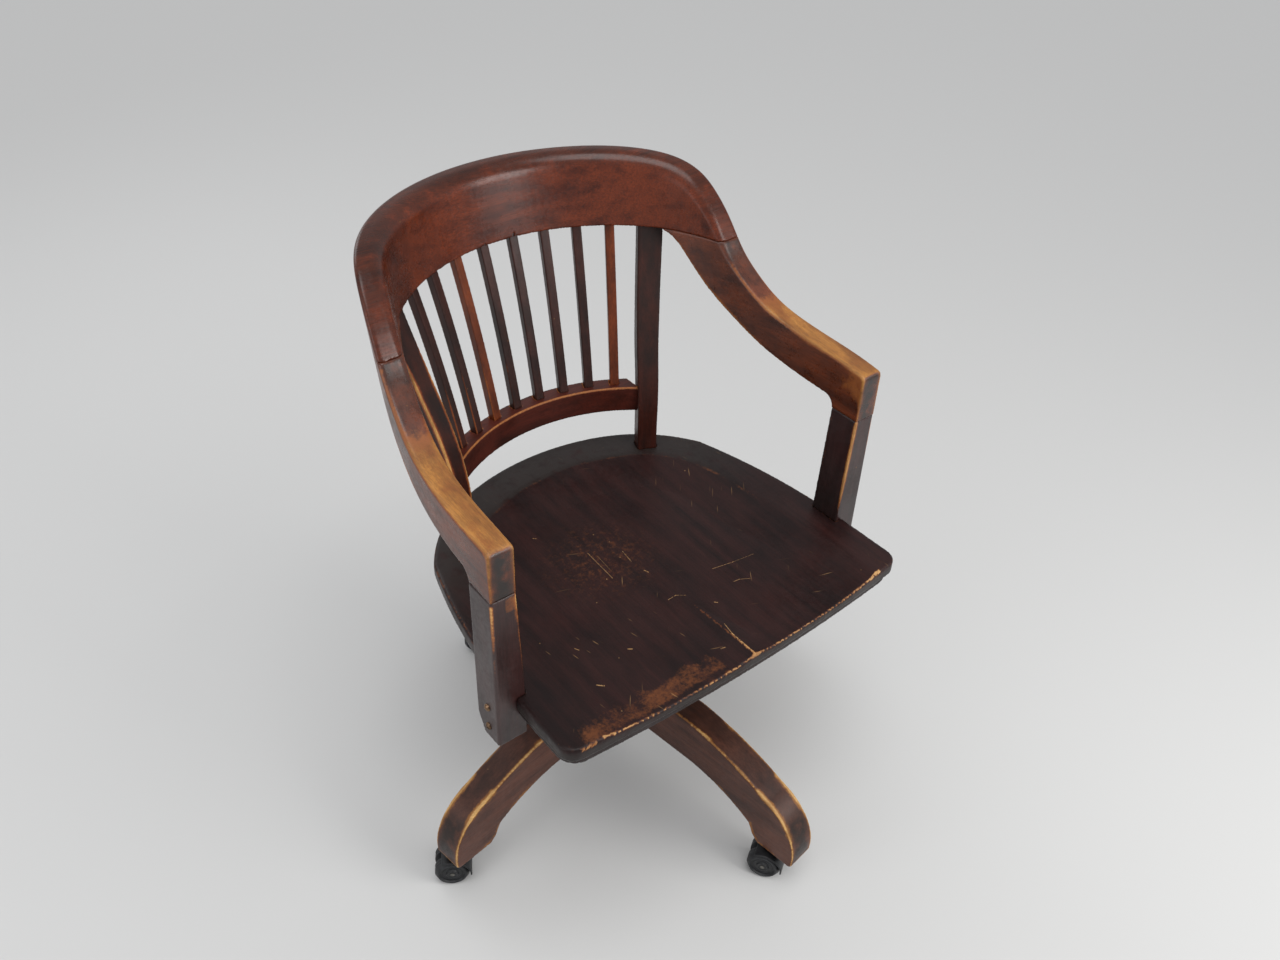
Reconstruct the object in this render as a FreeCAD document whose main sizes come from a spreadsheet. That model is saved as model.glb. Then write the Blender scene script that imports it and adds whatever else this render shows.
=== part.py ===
import FreeCAD, Part

import math
import os

import Sketcher

os.makedirs("parts", exist_ok=True)

# Swivel desk chair with a tilting wooden seat, in millimetres.
# X runs across the chair, -Y is its front, +Z is up, and the origin is on the floor
# under the middle of the four legs.

V = FreeCAD.Vector
doc = FreeCAD.newDocument("chair")
sheet = doc.addObject("Spreadsheet::Sheet", "Sizes")


# Sizes

SIZES = [
    ("arm_span", 600.0),
    ("arm_front", 135.0),
    ("bow_depth", 461.0),
    ("bow_thick", 33.0),
    ("bow_lean", 13.8),
    ("bow_roll", 24.0),
    ("arm_joint_height", 592.0),
    ("arm_rise", 12.0),
    ("crest_bottom", 752.0),
    ("crest_tall", 96.0),
    ("seat_height", 426.0),
    ("seat_thick", 20.0),
    ("seat_width", 549.0),
    ("seat_front", 252.0),
    ("seat_back", 240.0),
    ("seat_edge_round", 3.5),
    ("dish_depth", 8.0),
    ("dish_slope", 74.0),
    ("frame_thick", 14.0),
    ("frame_inset", 10.0),
    ("frame_band", 62.0),
    ("front_post_wide", 45.0),
    ("front_post_thick", 40.0),
    ("front_post_top", 33.0),
    ("front_post_drop", 69.0),
    ("back_post_wide", 28.5),
    ("back_post_top_wide", 35.0),
    ("back_post_thick", 22.0),
    ("rail_radius", 250.0),
    ("rail_thick", 26.0),
    ("rail_tall", 40.0),
    ("rail_bottom", 486.0),
    ("slat_wide", 13.0),
    ("slat_thick", 12.0),
    ("leg_wide", 43.0),
    ("leg_reach", 345.0),
    ("base_drop", 227.0),
    ("leg_turn", 7.81),
    ("hub_flats", 92.0),
    ("hub_proud", 7.0),
    ("hub_tall", 94.0),
    ("foot_height", 58.0),
    ("castor_inset", 32.0),
    ("castor_wheel", 48.0),
    ("castor_trail", 20.0),
    ("castor_tread", 16.0),
    ("stem_wide", 10.0),
    ("spindle_wide", 28.0),
    ("spindle_long", 232.0),
    ("spindle_below", 16.0),
    ("sleeve_wall", 4.0),
    ("nut_wide", 84.0),
    ("nut_tall", 24.0),
    ("boss_wide", 54.0),
    ("boss_tall", 88.0),
    ("yoke_drop", 38.0),
    ("yoke_arm_thick", 12.0),
    ("pivot_drop", 54.0),
    ("pivot_back", 10.0),
    ("pivot_rod", 14.0),
    ("iron_span", 95.0),
    ("iron_thick", 6.0),
    ("bolt_wide", 10.0),
    ("bolt_forward", 110.0),
    ("bolt_drop", 19.0),
    ("spring_wire", 5.0),
    ("spring_mean", 31.0),
    ("spring_long", 72.0),
    ("knob_wide", 54.0),
    ("knob_tall", 22.0),
    ("play", 0.3),
    ("running_play", 0.1),
]


class Size:
    """A number together with the expression that gives it."""

    def __init__(self, value, text):
        self.value = float(value)
        self.text = text

    @staticmethod
    def of(thing):
        if isinstance(thing, Size):
            return thing
        return Size(thing, repr(float(thing)))

    def __add__(self, other):
        other = Size.of(other)
        return Size(self.value + other.value, f"({self.text} + {other.text})")

    def __radd__(self, other):
        return Size.of(other) + self

    def __sub__(self, other):
        other = Size.of(other)
        return Size(self.value - other.value, f"({self.text} - {other.text})")

    def __rsub__(self, other):
        return Size.of(other) - self

    def __mul__(self, other):
        other = Size.of(other)
        return Size(self.value * other.value, f"({self.text} * {other.text})")

    def __rmul__(self, other):
        return Size.of(other) * self

    def __truediv__(self, other):
        other = Size.of(other)
        return Size(self.value / other.value, f"({self.text} / {other.text})")

    def __neg__(self):
        return Size(-self.value, f"(-1 * {self.text})")


for row, (word, number) in enumerate(SIZES, start=1):
    sheet.set(f"A{row}", word)
    sheet.set(f"B{row}", str(number))
    sheet.setAlias(f"B{row}", word)
doc.recompute()


def size(word):
    return Size(sheet.get(word), f"Sizes.{word}")


def number(word):
    return float(sheet.get(word))


# Small makers

def bind(thing, field, amount):
    amount = Size.of(amount)
    if amount.text != repr(amount.value):
        thing.setExpression(field, amount.text)


def place(thing, x=0.0, y=0.0, z=0.0, turn=None):
    spot = [Size.of(x), Size.of(y), Size.of(z)]
    thing.Placement = FreeCAD.Placement(
        V(*[amount.value for amount in spot]), turn or FreeCAD.Rotation()
    )
    for axis, amount in zip("xyz", spot):
        bind(thing, f"Placement.Base.{axis}", amount)
    return thing


def box(name, wide, deep, tall, x, y, z, turn=None):
    thing = doc.addObject("Part::Box", name)
    for field, amount in (("Length", wide), ("Width", deep), ("Height", tall)):
        setattr(thing, field, Size.of(amount).value)
        bind(thing, field, amount)
    return place(thing, x, y, z, turn)


ALONG_X = FreeCAD.Rotation(V(0, 1, 0), 90)
ALONG_Y = FreeCAD.Rotation(V(1, 0, 0), -90)


def rod(name, across, tall, x, y, z, turn=None):
    thing = doc.addObject("Part::Cylinder", name)
    thing.Radius = Size.of(across).value / 2
    bind(thing, "Radius", Size.of(across) / 2)
    thing.Height = Size.of(tall).value
    bind(thing, "Height", tall)
    return place(thing, x, y, z, turn)


def cut(name, base, *tools):
    tool = tools[0] if len(tools) == 1 else fuse(f"{name}_tools", *tools)
    thing = doc.addObject("Part::Cut", name)
    thing.Base = base
    thing.Tool = tool
    return thing


def fuse(name, *shapes):
    thing = doc.addObject("Part::MultiFuse", name)
    thing.Shapes = list(shapes)
    return thing


def group(name, *shapes):
    thing = doc.addObject("Part::Compound", name)
    thing.Links = list(shapes)
    return thing


def solid(name, shape):
    thing = doc.addObject("Part::Feature", name)
    thing.Shape = shape
    thing.Placement = FreeCAD.Placement()
    return thing


def plane(body, role):
    for feature in body.Origin.OriginFeatures:
        if feature.Role == role:
            return feature
    raise ValueError(role)


def outline(body, name, role, corners, bends=None):
    """A closed outline of lines and arcs. bends holds, by the number of a side, its radius,
    above zero where the side bulges to the right of the way it runs."""
    bends = bends or {}
    sketch = body.newObject("Sketcher::SketchObject", name)
    sketch.AttachmentSupport = [(plane(body, role), "")]
    sketch.MapMode = "FlatFace"
    corners = [(Size.of(x), Size.of(y)) for x, y in corners]
    ends = []
    for side, (start, end) in enumerate(zip(corners, corners[1:] + corners[:1])):
        first = V(start[0].value, start[1].value, 0)
        last = V(end[0].value, end[1].value, 0)
        if side not in bends:
            index = sketch.addGeometry(Part.LineSegment(first, last), False)
            ends.append((index, 1, 2))
            continue
        bend = Size.of(bends[side])
        radius = abs(bend.value)
        along = last - first
        right = V(along.y, -along.x, 0).normalize()
        deep = math.sqrt(radius ** 2 - (along.Length / 2) ** 2)
        bulge = 1 if bend.value > 0 else -1
        middle = (first + last) / 2 - right * (deep * bulge)
        angles = [math.atan2(p.y - middle.y, p.x - middle.x) for p in (first, last)]
        circle = Part.Circle(middle, V(0, 0, 1), radius)
        if bulge > 0:
            arc = Part.ArcOfCircle(circle, angles[0], angles[1])
        else:
            arc = Part.ArcOfCircle(circle, angles[1], angles[0])
        index = sketch.addGeometry(arc, False)
        ends.append((index, 1, 2) if bulge > 0 else (index, 2, 1))
        sketch.addConstraint(Sketcher.Constraint("Radius", index, radius))
        if isinstance(bends[side], Size):
            amount = bend if bulge > 0 else -bend
            sketch.setExpression(f"Constraints[{sketch.ConstraintCount - 1}]", amount.text)
    for side, (index, start_point, end_point) in enumerate(ends):
        following, next_start, _ = ends[(side + 1) % len(ends)]
        sketch.addConstraint(
            Sketcher.Constraint("Coincident", index, end_point, following, next_start)
        )
        for kind, amount in zip(("DistanceX", "DistanceY"), corners[side]):
            sketch.addConstraint(
                Sketcher.Constraint(kind, -1, 1, index, start_point, amount.value)
            )
            if amount.text != repr(amount.value):
                sketch.setExpression(f"Constraints[{sketch.ConstraintCount - 1}]", amount.text)
    return sketch


def prism(name, role, corners, tall, bends=None, both=False):
    body = doc.addObject("PartDesign::Body", name)
    sketch = outline(body, f"{name}_outline", role, corners, bends)
    pad = body.newObject("PartDesign::Pad", f"{name}_pad")
    pad.Profile = sketch
    pad.Length = Size.of(tall).value
    bind(pad, "Length", tall)
    pad.Midplane = both
    body.Tip = pad
    doc.recompute()
    return body


def turned(name, corners, bends=None):
    body = doc.addObject("PartDesign::Body", name)
    sketch = outline(body, f"{name}_outline", "XZ_Plane", corners, bends)
    turn = body.newObject("PartDesign::Revolution", f"{name}_turn")
    turn.Profile = sketch
    turn.ReferenceAxis = (sketch, ["V_Axis"])
    turn.Angle = 360.0
    body.Tip = turn
    doc.recompute()
    return body


def rounded(name, base, radius, wanted):
    """base with a radius on each of its edges that wanted accepts."""
    doc.recompute()
    thing = doc.addObject("Part::Fillet", name)
    thing.Base = base
    amount = Size.of(radius).value
    thing.Edges = [
        (number_of, amount, amount)
        for number_of, edge in enumerate(base.Shape.Edges, start=1)
        if wanted(edge)
    ]
    return thing


def middle_of(edge):
    return edge.valueAt((edge.FirstParameter + edge.LastParameter) / 2)


def runs_along(edge, way):
    line = edge.lastVertex(True).Point - edge.firstVertex(True).Point
    return line.Length > 1e-6 and abs(line.normalize().dot(way)) > 0.999


parts = {}


def keep(name, thing):
    thing.Label = name
    parts[name] = thing
    return thing


# Bow: the arms and the crest rail follow one bent outline

half_span = number("arm_span") / 2
front = number("arm_front")
bow_depth = number("bow_depth")
bow_thick = number("bow_thick")
crest_bottom = number("crest_bottom")
crest_tall = number("crest_tall")
arm_joint = number("arm_joint_height")
lean = math.tan(math.radians(number("bow_lean")))

BOW_OUTLINE = [
    (1.0, 0.0), (0.9995, 0.09), (0.997, 0.175), (0.984, 0.304), (0.960, 0.423),
    (0.924, 0.536), (0.872, 0.642), (0.787, 0.745), (0.655, 0.839), (0.500, 0.911),
    (0.333, 0.962), (0.167, 0.991), (0.0, 1.0),
]
RISER = (4, 7)

outer_points = [V(half_span * u, bow_depth * v - front, 0) for u, v in BOW_OUTLINE]
outer_points += [V(-p.x, p.y, 0) for p in reversed(outer_points[:-1])]
outer_curve = Part.BSplineCurve()
outer_curve.interpolate(outer_points)


def inward(curve, point, amount):
    along = curve.tangent(curve.parameter(point))[0]
    return point + V(-along.y, along.x, 0) * amount


inner_points = [inward(outer_curve, p, bow_thick) for p in outer_points]
inner_points[0] = V(outer_points[0].x - bow_thick, outer_points[0].y, 0)
inner_points[-1] = V(-inner_points[0].x, inner_points[0].y, 0)
inner_curve = Part.BSplineCurve()
inner_curve.interpolate(inner_points)


def pieces_of(curve, points):
    last = len(points) - 1
    stops = [0, RISER[0], RISER[1], last - RISER[1], last - RISER[0], last]
    marks = [curve.parameter(points[stop]) for stop in stops]
    return [curve.toShape(a, b) for a, b in zip(marks, marks[1:])]


outer_edges = pieces_of(outer_curve, outer_points)
inner_edges = pieces_of(inner_curve, inner_points)
ends = [
    Part.makeLine(outer_points[0], inner_points[0]),
    Part.makeLine(outer_points[-1], inner_points[-1]),
]
band_face = Part.Face(Part.Wire(Part.__sortEdges__(outer_edges + inner_edges + ends)))
band_low = arm_joint - 40 - crest_bottom
band_face.translate(V(0, band_low * lean, crest_bottom + band_low))
band_rise = crest_bottom + crest_tall + 60 - (crest_bottom + band_low)
band = band_face.extrude(V(0, band_rise * lean, band_rise))

crest_top = crest_bottom + crest_tall
rise_top = crest_top - arm_joint
TOP_LINE = [
    (-0.34, 0.268), (0.0, 0.268), (0.12, 0.292), (0.212, 0.305), (0.304, 0.328),
    (0.378, 0.366), (0.466, 0.462), (0.524, 0.559), (0.585, 0.713), (0.635, 0.824),
    (0.692, 0.914), (0.755, 0.963), (0.835, 0.988), (0.95, 0.997), (1.2, 1.0),
]
UNDER_LINE = [
    (0.137, 0.063), (0.206, 0.074), (0.293, 0.100), (0.380, 0.145), (0.466, 0.219),
    (0.553, 0.320), (0.618, 0.430), (0.664, 0.528), (0.700, 0.595), (0.735, 0.625),
]


def side_point(u, v):
    return V(-half_span - 20, bow_depth * u - front, arm_joint + rise_top * v)


top_points = [side_point(u, v) for u, v in TOP_LINE if u >= 0]
top_curve = Part.BSplineCurve()
top_curve.interpolate(top_points)
under_points = [side_point(u, v) for u, v in UNDER_LINE]
under_points[-1].z = crest_bottom
under_curve = Part.BSplineCurve()
under_curve.interpolate(under_points)
post_back = -front + number("front_post_wide")
back_far = top_points[-1].y
side_x = -half_span - 20
step = under_points[0].z - arm_joint
lug = [
    V(side_x, -front, top_points[0].z),
    V(side_x, -front, arm_joint),
    V(side_x, post_back, arm_joint),
]
turn_middle = V(side_x, post_back + step * 0.3, arm_joint + step * 0.7)
side_edges = [
    Part.makeLine(lug[0], lug[1]),
    Part.makeLine(lug[1], lug[2]),
    Part.Arc(lug[2], turn_middle, under_points[0]).toShape(),
    under_curve.toShape(),
    Part.makeLine(under_points[-1], V(side_x, back_far, crest_bottom)),
    Part.makeLine(V(side_x, back_far, crest_bottom), top_points[-1]),
    top_curve.toShape(),
]
side_face = Part.Face(Part.Wire(Part.__sortEdges__(side_edges)))
side = side_face.extrude(V(number("arm_span") + 40, 0, 0))
bow_plain = band.common(side)
print("bow volume", round(bow_plain.Volume), "solids", len(bow_plain.Solids),
      "faces", len(bow_plain.Faces))
solid("bow_plain", bow_plain.Solids[0])
doc.recompute()


def on_curve(curve, point):
    return Part.Vertex(point).distToShape(curve.toShape())[0] < 0.5


def bow_rounding(base):
    """Edge numbers of the bow with their radii. The top inner edge rolls over wider as the
    arms climb to the crest."""
    small, roll, outer_round, nose = 4.0, number("bow_roll"), 5.0, 8.0
    chosen = []
    for number_of, edge in enumerate(base.Shape.Edges, start=1):
        p = middle_of(edge)
        flat = V(p.x, p.y - (p.z - crest_bottom) * lean, 0)
        on_top = on_curve(top_curve, V(side_x, p.y, p.z))
        if on_top and on_curve(outer_curve, flat):
            chosen.append((number_of, outer_round, outer_round))
        elif on_top and on_curve(inner_curve, flat):
            tall = [v.Point.y for v in (edge.firstVertex(True), edge.lastVertex(True))]
            if abs(p.x) < 1:
                chosen.append((number_of, roll, roll))
            elif min(tall) < -front + 1:
                chosen.append((number_of, small, small))
            elif p.x < 0:
                chosen.append((number_of, small, roll))
            else:
                chosen.append((number_of, roll, small))
        elif abs(p.y + front) < 0.5 and abs(p.z - top_points[0].z) < 0.5:
            chosen.append((number_of, nose, nose))
    return chosen


bow = doc.addObject("Part::Fillet", "bow")
bow.Base = doc.getObject("bow_plain")
bow.Edges = bow_rounding(bow.Base)
doc.recompute()
print("bow rounded", bow.Shape.isValid(), round(bow.Shape.Volume), len(bow.Edges))

far = 500.0
above = box("above_joint", far * 2, far * 2, far, -far, -far, size("crest_bottom"))
below_left = box("below_joint_left", far, far * 2, far, -far, -far,
                 size("crest_bottom") - far)
below_right = box("below_joint_right", far, far * 2, far, 0, -far,
                  size("crest_bottom") - far)


# Back: two posts, a lower rail and eight slats, all leaning back

def bar(name, sections):
    """A bent bar lofted through level four-sided sections given as (front inner corner,
    way across, wide, thick)."""
    wires = []
    for corner, across, wide, thick in sections:
        back = V(-across.y, across.x, 0)
        points = [corner, corner + across * wide, corner + across * wide + back * thick,
                  corner + back * thick]
        wires.append(Part.makePolygon(points + points[:1]))
    return solid(name, Part.makeLoft(wires, True, False))


seat_height = number("seat_height")
post_tenon = 16.0
POST_LINE = [
    (0.0, 142.6, 158.6), (0.20, 144.0, 163.5), (0.35, 148.0, 171.5), (0.475, 153.2, 182.0),
    (0.607, 161.0, 194.2), (0.703, 167.0, 203.0), (0.825, 174.8, 214.0), (1.0, 185.0, 228.5),
]
back_low = crest_bottom - seat_height


def back_post(name, side):
    start, slope = POST_LINE[0], (POST_LINE[1][2] - POST_LINE[0][2]) / POST_LINE[1][0]
    stations = [(-post_tenon / back_low, start[1], start[2] - slope * post_tenon / back_low)]
    stations += POST_LINE
    end, before = POST_LINE[-1], POST_LINE[-2]
    reach = post_tenon / back_low / (end[0] - before[0])
    stations.append((1 + post_tenon / back_low,
                     end[1] + (end[1] - before[1]) * reach,
                     end[2] + (end[2] - before[2]) * reach))
    sections = []
    for share, x, y in stations:
        part = min(max(share, 0.0), 1.0)
        angle = math.radians(-23.0 - 4.0 * part)
        wide = number("back_post_wide") + part * (
            number("back_post_top_wide") - number("back_post_wide"))
        thick = number("back_post_thick") * (1 - 0.2 * part)
        across = V(math.cos(angle), math.sin(angle), 0)
        corner = V(x, y, seat_height + share * back_low)
        if side < 0:
            corner = corner + across * wide
            corner.x = -corner.x
            across = V(across.x, -across.y, 0)
        sections.append((corner, across, wide, thick))
    return bar(name, sections)


rail_middle = 28.0
rail_top = size("rail_bottom") + size("rail_tall")
rail_outer = rod("rail_outer", (size("rail_radius") + size("rail_thick")) * 2,
                 size("rail_tall"), 0, -rail_middle, size("rail_bottom"))
rail_inner = rod("rail_inner", size("rail_radius") * 2, size("rail_tall") + 2,
                 0, -rail_middle, size("rail_bottom") - 1)
rail_span = box("rail_span", 304, 200, size("rail_tall"), -152, 100, size("rail_bottom"))
rail_ring = cut("rail_ring", rail_outer, rail_inner)
rail_plain = doc.addObject("Part::Common", "rail_plain")
rail_plain.Base = rail_ring
rail_plain.Tool = rail_span

SLAT_SIDE = 4
slat_low, slat_top = 8.0, 10.0


def slat(name, place_of):
    low_radius = number("rail_radius") + 9.0
    high_radius, high_middle = 300.0, 2.5
    low_z = number("rail_bottom") + number("rail_tall") - slat_low
    high_z = crest_bottom + slat_top
    sections = []
    for step_of in range(6):
        part = step_of / 5
        low_angle = math.radians(8.35 * place_of)
        high_angle = math.radians(8.85 * place_of)
        low = V(low_radius * math.sin(low_angle),
                low_radius * math.cos(low_angle) - rail_middle, low_z)
        high = V(high_radius * math.sin(high_angle),
                 high_radius * math.cos(high_angle) - high_middle, high_z)
        angle = low_angle + (high_angle - low_angle) * part
        across = V(math.cos(angle), -math.sin(angle), 0)
        back = V(-across.y, across.x, 0)
        point = low + (high - low) * part - back * (14.0 * part * (1 - part))
        wide = number("slat_wide")
        sections.append((point - across * wide / 2, across, wide, number("slat_thick")))
    return bar(name, sections)


posts_plain = {"left": back_post("post_left_plain", -1),
               "right": back_post("post_right_plain", 1)}
slats = []
for order in range(2 * SLAT_SIDE):
    slats.append(keep(f"back_slat_{order + 1}",
                      slat(f"slat_{order + 1}", order - SLAT_SIDE + 0.5)))

crest_solid = doc.addObject("Part::Common", "crest_solid")
crest_solid.Base = bow
crest_solid.Tool = above
keep("crest_rail", cut("crest", crest_solid, fuse(
    "crest_tenons", posts_plain["left"], posts_plain["right"], *slats)))
keep("lower_back_rail", cut("back_rail", rail_plain, fuse("rail_tenons", *slats)))
for hand, piece in posts_plain.items():
    keep(f"back_post_{hand}", cut(f"post_{hand}", piece, rail_plain))
for hand, half in (("left", below_left), ("right", below_right)):
    arm = doc.addObject("Part::Common", f"arm_{hand}_solid")
    arm.Base = bow
    arm.Tool = half
    keep(f"arm_{hand}", cut(f"arm_{hand}_piece", arm, posts_plain[hand]))


# Front posts, each with two round-headed screws and a block under the seat

span = size("arm_span") / 2
seat_top = size("seat_height")
post_low = seat_top - size("front_post_drop")
seat_under = seat_top - size("seat_thick")
frame_under = seat_under - size("frame_thick")
post_rear = size("front_post_wide") - size("arm_front")
bevel = prism("post_bevel", "YZ_Plane", [
    (post_rear - 14, post_low - 1), (post_rear + 1, post_low - 1),
    (post_rear + 1, post_low + 32),
], size("arm_span") + 20, both=True)
front_posts = {}
for hand, sign in (("left", -1), ("right", 1)):
    inner = span - size("front_post_thick")
    neck = span - size("front_post_top")
    corners = [(inner * sign, post_low), (span * sign, post_low),
               (span * sign, size("arm_joint_height")),
               (neck * sign, size("arm_joint_height")), (inner * sign, seat_top)]
    plain = prism(f"front_post_{hand}_plain", "XZ_Plane",
                  corners if sign > 0 else corners[::-1], size("front_post_wide"))
    place(plain, 0, post_rear, 0)
    shaped = cut(f"front_post_{hand}_bevelled", plain, bevel)
    front_posts[hand] = rounded(
        f"front_post_{hand}_round", shaped, 3.0,
        lambda edge: abs(abs(middle_of(edge).x) - half_span) < 0.1
        and abs(edge.lastVertex(True).Point.z - edge.firstVertex(True).Point.z) > 100)

screw_levels = (seat_top - 17, seat_top - 50)
screw_y = post_rear - 24
screws = []
for hand, sign in (("left", -1), ("right", 1)):
    turn = FreeCAD.Rotation(V(0, 1, 0), 90 * sign)
    for level_of, level in enumerate(screw_levels):
        screw = turned(f"post_screw_{hand}_{level_of}", [
            (0, -56), (2.2, -50), (2.2, 0), (5.2, 0), (3.6, 2.9), (0, 3.6),
        ])
        screws.append(place(screw, span * sign, screw_y, level, turn))
screws_of_posts = keep("front_post_screws", group("post_screws", *screws))
for hand, piece in front_posts.items():
    keep(f"front_post_{hand}", cut(f"front_post_{hand}_bored", piece, screws_of_posts))
cleats = []
for hand, sign in (("left", -1), ("right", 1)):
    low_x = span * sign - size("front_post_thick") * sign
    cleats.append(box(f"cleat_{hand}", 52, size("front_post_wide") - 6, 28,
                      low_x - (52 if sign > 0 else 0), post_rear - 42,
                      frame_under - 28))
keep("post_cleats", cut("cleats", group("cleat_pair", *cleats), screws_of_posts))


# Seat: a dished board over a set-in frame

def seat_corners(inset):
    half = size("seat_width") / 2
    ahead = size("seat_front")
    behind = size("seat_back")
    right = [
        (half - 20 - inset, inset + 11 - ahead),
        (half - inset, inset + 33 - ahead),
        (half - 1 - inset, -120),
        (half * 0.845 - 0.93 * inset, behind * 0.5 - 0.37 * inset),
        (half * 0.426 - 0.5 * inset, behind * 0.9125 - 0.86 * inset),
    ]
    left = [(-x, y) for x, y in reversed(right)]
    bends = {0: 21.0, 2: 877.0, 3: 228.0, 4: 336.0, 5: 228.0, 6: 877.0, 8: 21.0,
             9: 2950.0}
    return right + left, bends


corners, bends = seat_corners(Size.of(0.0))
seat_board = prism("seat_board", "XY_Plane", corners, size("seat_thick"), bends)
place(seat_board, 0, 0, seat_under)
seat_round = rounded(
    "seat_round", seat_board, size("seat_edge_round"),
    lambda edge: abs(middle_of(edge).z - seat_height) < 0.01)

DISH = [
    (0.0, 0.79), (0.165, 0.78), (0.31, 0.735), (0.515, 0.63), (0.66, 0.455),
    (0.735, 0.25), (0.765, 0.0), (0.79, -0.29), (0.81, -0.54), (0.825, -0.8),
    (0.8, -1.04), (0.66, -1.17), (0.4, -1.2), (0.13, -1.2),
]
slope = number("dish_slope")
deep = number("dish_depth")
half_seat = number("seat_width") / 2


def dish_ring(inset, z):
    points = []
    for u, v in DISH:
        y = v * (number("seat_back") if v > 0 else number("seat_front"))
        points.append(V(half_seat * u, y, 0))
    points += [V(-p.x, p.y, 0) for p in reversed(points[1:])]
    middle = V(0, -20, 0)
    ring = []
    for p in points:
        ray = p - middle
        ring.append(middle + ray * ((ray.Length - inset) / ray.Length) + V(0, 0, z))
    curve = Part.BSplineCurve()
    curve.interpolate(Points=ring, PeriodicFlag=True)
    return Part.Wire(curve.toShape())


dish_plain = Part.makeLoft([
    dish_ring(-slope * 0.25, seat_height + deep * 0.25),
    dish_ring(slope, seat_height - deep),
], True, True)
ridge_y = -number("seat_front") * 1.06


def ridge(y, wide, tall):
    low = seat_height - deep - 2
    points = [V(-wide, y, low), V(wide, y, low), V(0, y, low + tall)]
    return Part.makePolygon(points + points[:1])


pommel = Part.makeLoft([ridge(ridge_y, 62, deep + 2), ridge(ridge_y + 130, 10, 2)], True, True)
dish = solid("dish", dish_plain.cut(pommel))


# Irons under the seat: two bars with ears, and the bar that carries the tension bolt

pivot_y = size("pivot_back")
pivot_z = seat_top - size("pivot_drop")
irons = {}
bores = []
for hand, sign in (("left", -1), ("right", 1)):
    middle_x = size("iron_span") * sign
    bar_piece = box(f"iron_bar_{hand}", 30, 286, size("iron_thick"),
                    middle_x - 15, -150, seat_under - size("iron_thick"))
    ear = box(f"iron_ear_{hand}", 6, 36, seat_under - size("iron_thick") - pivot_z,
              middle_x - 3, pivot_y - 18, pivot_z)
    tip = rod(f"iron_tip_{hand}", 36, 6, middle_x - 3, pivot_y, pivot_z, ALONG_X)
    bore = rod(f"iron_bore_{hand}", size("pivot_rod") + 2 * size("running_play"), 20,
               middle_x - 10, pivot_y, pivot_z, ALONG_X)
    irons[hand] = cut(f"iron_{hand}", fuse(f"iron_{hand}_plain", bar_piece, ear, tip), bore)

iron_under = seat_under - size("iron_thick")
bolt_y = -1 * size("bolt_forward")
bolt_z = pivot_z - size("bolt_drop")
lug_low = bolt_z - 10
bridge = box("spring_bridge", size("iron_span") * 2 + 30, 36, 6,
             -1 * size("iron_span") - 15, bolt_y - 18, iron_under - 6)
lugs = []
for sign in (-1, 1):
    lugs.append(box(f"spring_lug_{sign + 1}", 8, 24, iron_under - 6 - lug_low,
                    20 * sign - 4, bolt_y - 12, lug_low))
lug_bore = rod("lug_bore", 8 + 2 * size("running_play"), 60, -30, bolt_y, bolt_z, ALONG_X)
spring_bar = cut("spring_bar_plain", fuse("spring_bar_solid", bridge, *lugs), lug_bore)

iron_screws = []
bar_bolts = []
for sign in (-1, 1):
    for level_of, y in enumerate((-138.0, -60.0, 65.0, 122.0)):
        screw = turned(f"iron_screw_{sign + 1}_{level_of}", [
            (0, -2.8), (3.2, -2.4), (4.6, 0), (2.0, 0), (2.0, 10), (0, 13),
        ])
        iron_screws.append(place(screw, size("iron_span") * sign, y, iron_under))
    for level_of, step_y in enumerate((-10.0, 10.0)):
        bolt = turned(f"bar_bolt_{sign + 1}_{level_of}", [
            (0, -5), (5.2, -5), (5.8, -4.2), (5.8, 0), (3.0, 0), (3.0, 12), (0, 12),
        ])
        bar_bolts.append(place(bolt, size("iron_span") * sign + 7 * sign,
                               bolt_y + step_y, iron_under - 6))
iron_screw_set = keep("seat_iron_screws", group("iron_screw_set", *iron_screws))
bar_bolt_set = keep("spring_bar_bolts", group("bar_bolt_set", *bar_bolts))
for hand, piece in irons.items():
    keep(f"seat_iron_{hand}", cut(f"iron_{hand}_bored", piece, iron_screw_set, bar_bolt_set))
keep("spring_bar", cut("spring_bar_bored", spring_bar, bar_bolt_set))

ends_in_seat = fuse("ends_in_seat", posts_plain["left"], posts_plain["right"],
                    front_posts["left"], front_posts["right"], screws_of_posts,
                    iron_screw_set)
keep("seat", cut("seat_piece", cut("seat_dished", seat_round, dish), ends_in_seat))

outer_corners, outer_bends = seat_corners(size("frame_inset"))
inner_corners, inner_bends = seat_corners(size("frame_inset") + size("frame_band"))
frame_outer = prism("frame_outer", "XY_Plane", outer_corners, size("frame_thick"),
                    {side_of: r - 10 if r > 30 else r for side_of, r in outer_bends.items()})
place(frame_outer, 0, 0, frame_under)
frame_inner = prism("frame_inner", "XY_Plane", inner_corners, size("frame_thick") + 2,
                    {side_of: r - 72 if r > 30 else r for side_of, r in inner_bends.items()})
place(frame_inner, 0, 0, frame_under - 1)
keep("seat_frame", cut("frame_ring", frame_outer, frame_inner, front_posts["left"],
                       front_posts["right"]))


# Tilt yoke on the spindle, with its pivot rod

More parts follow.
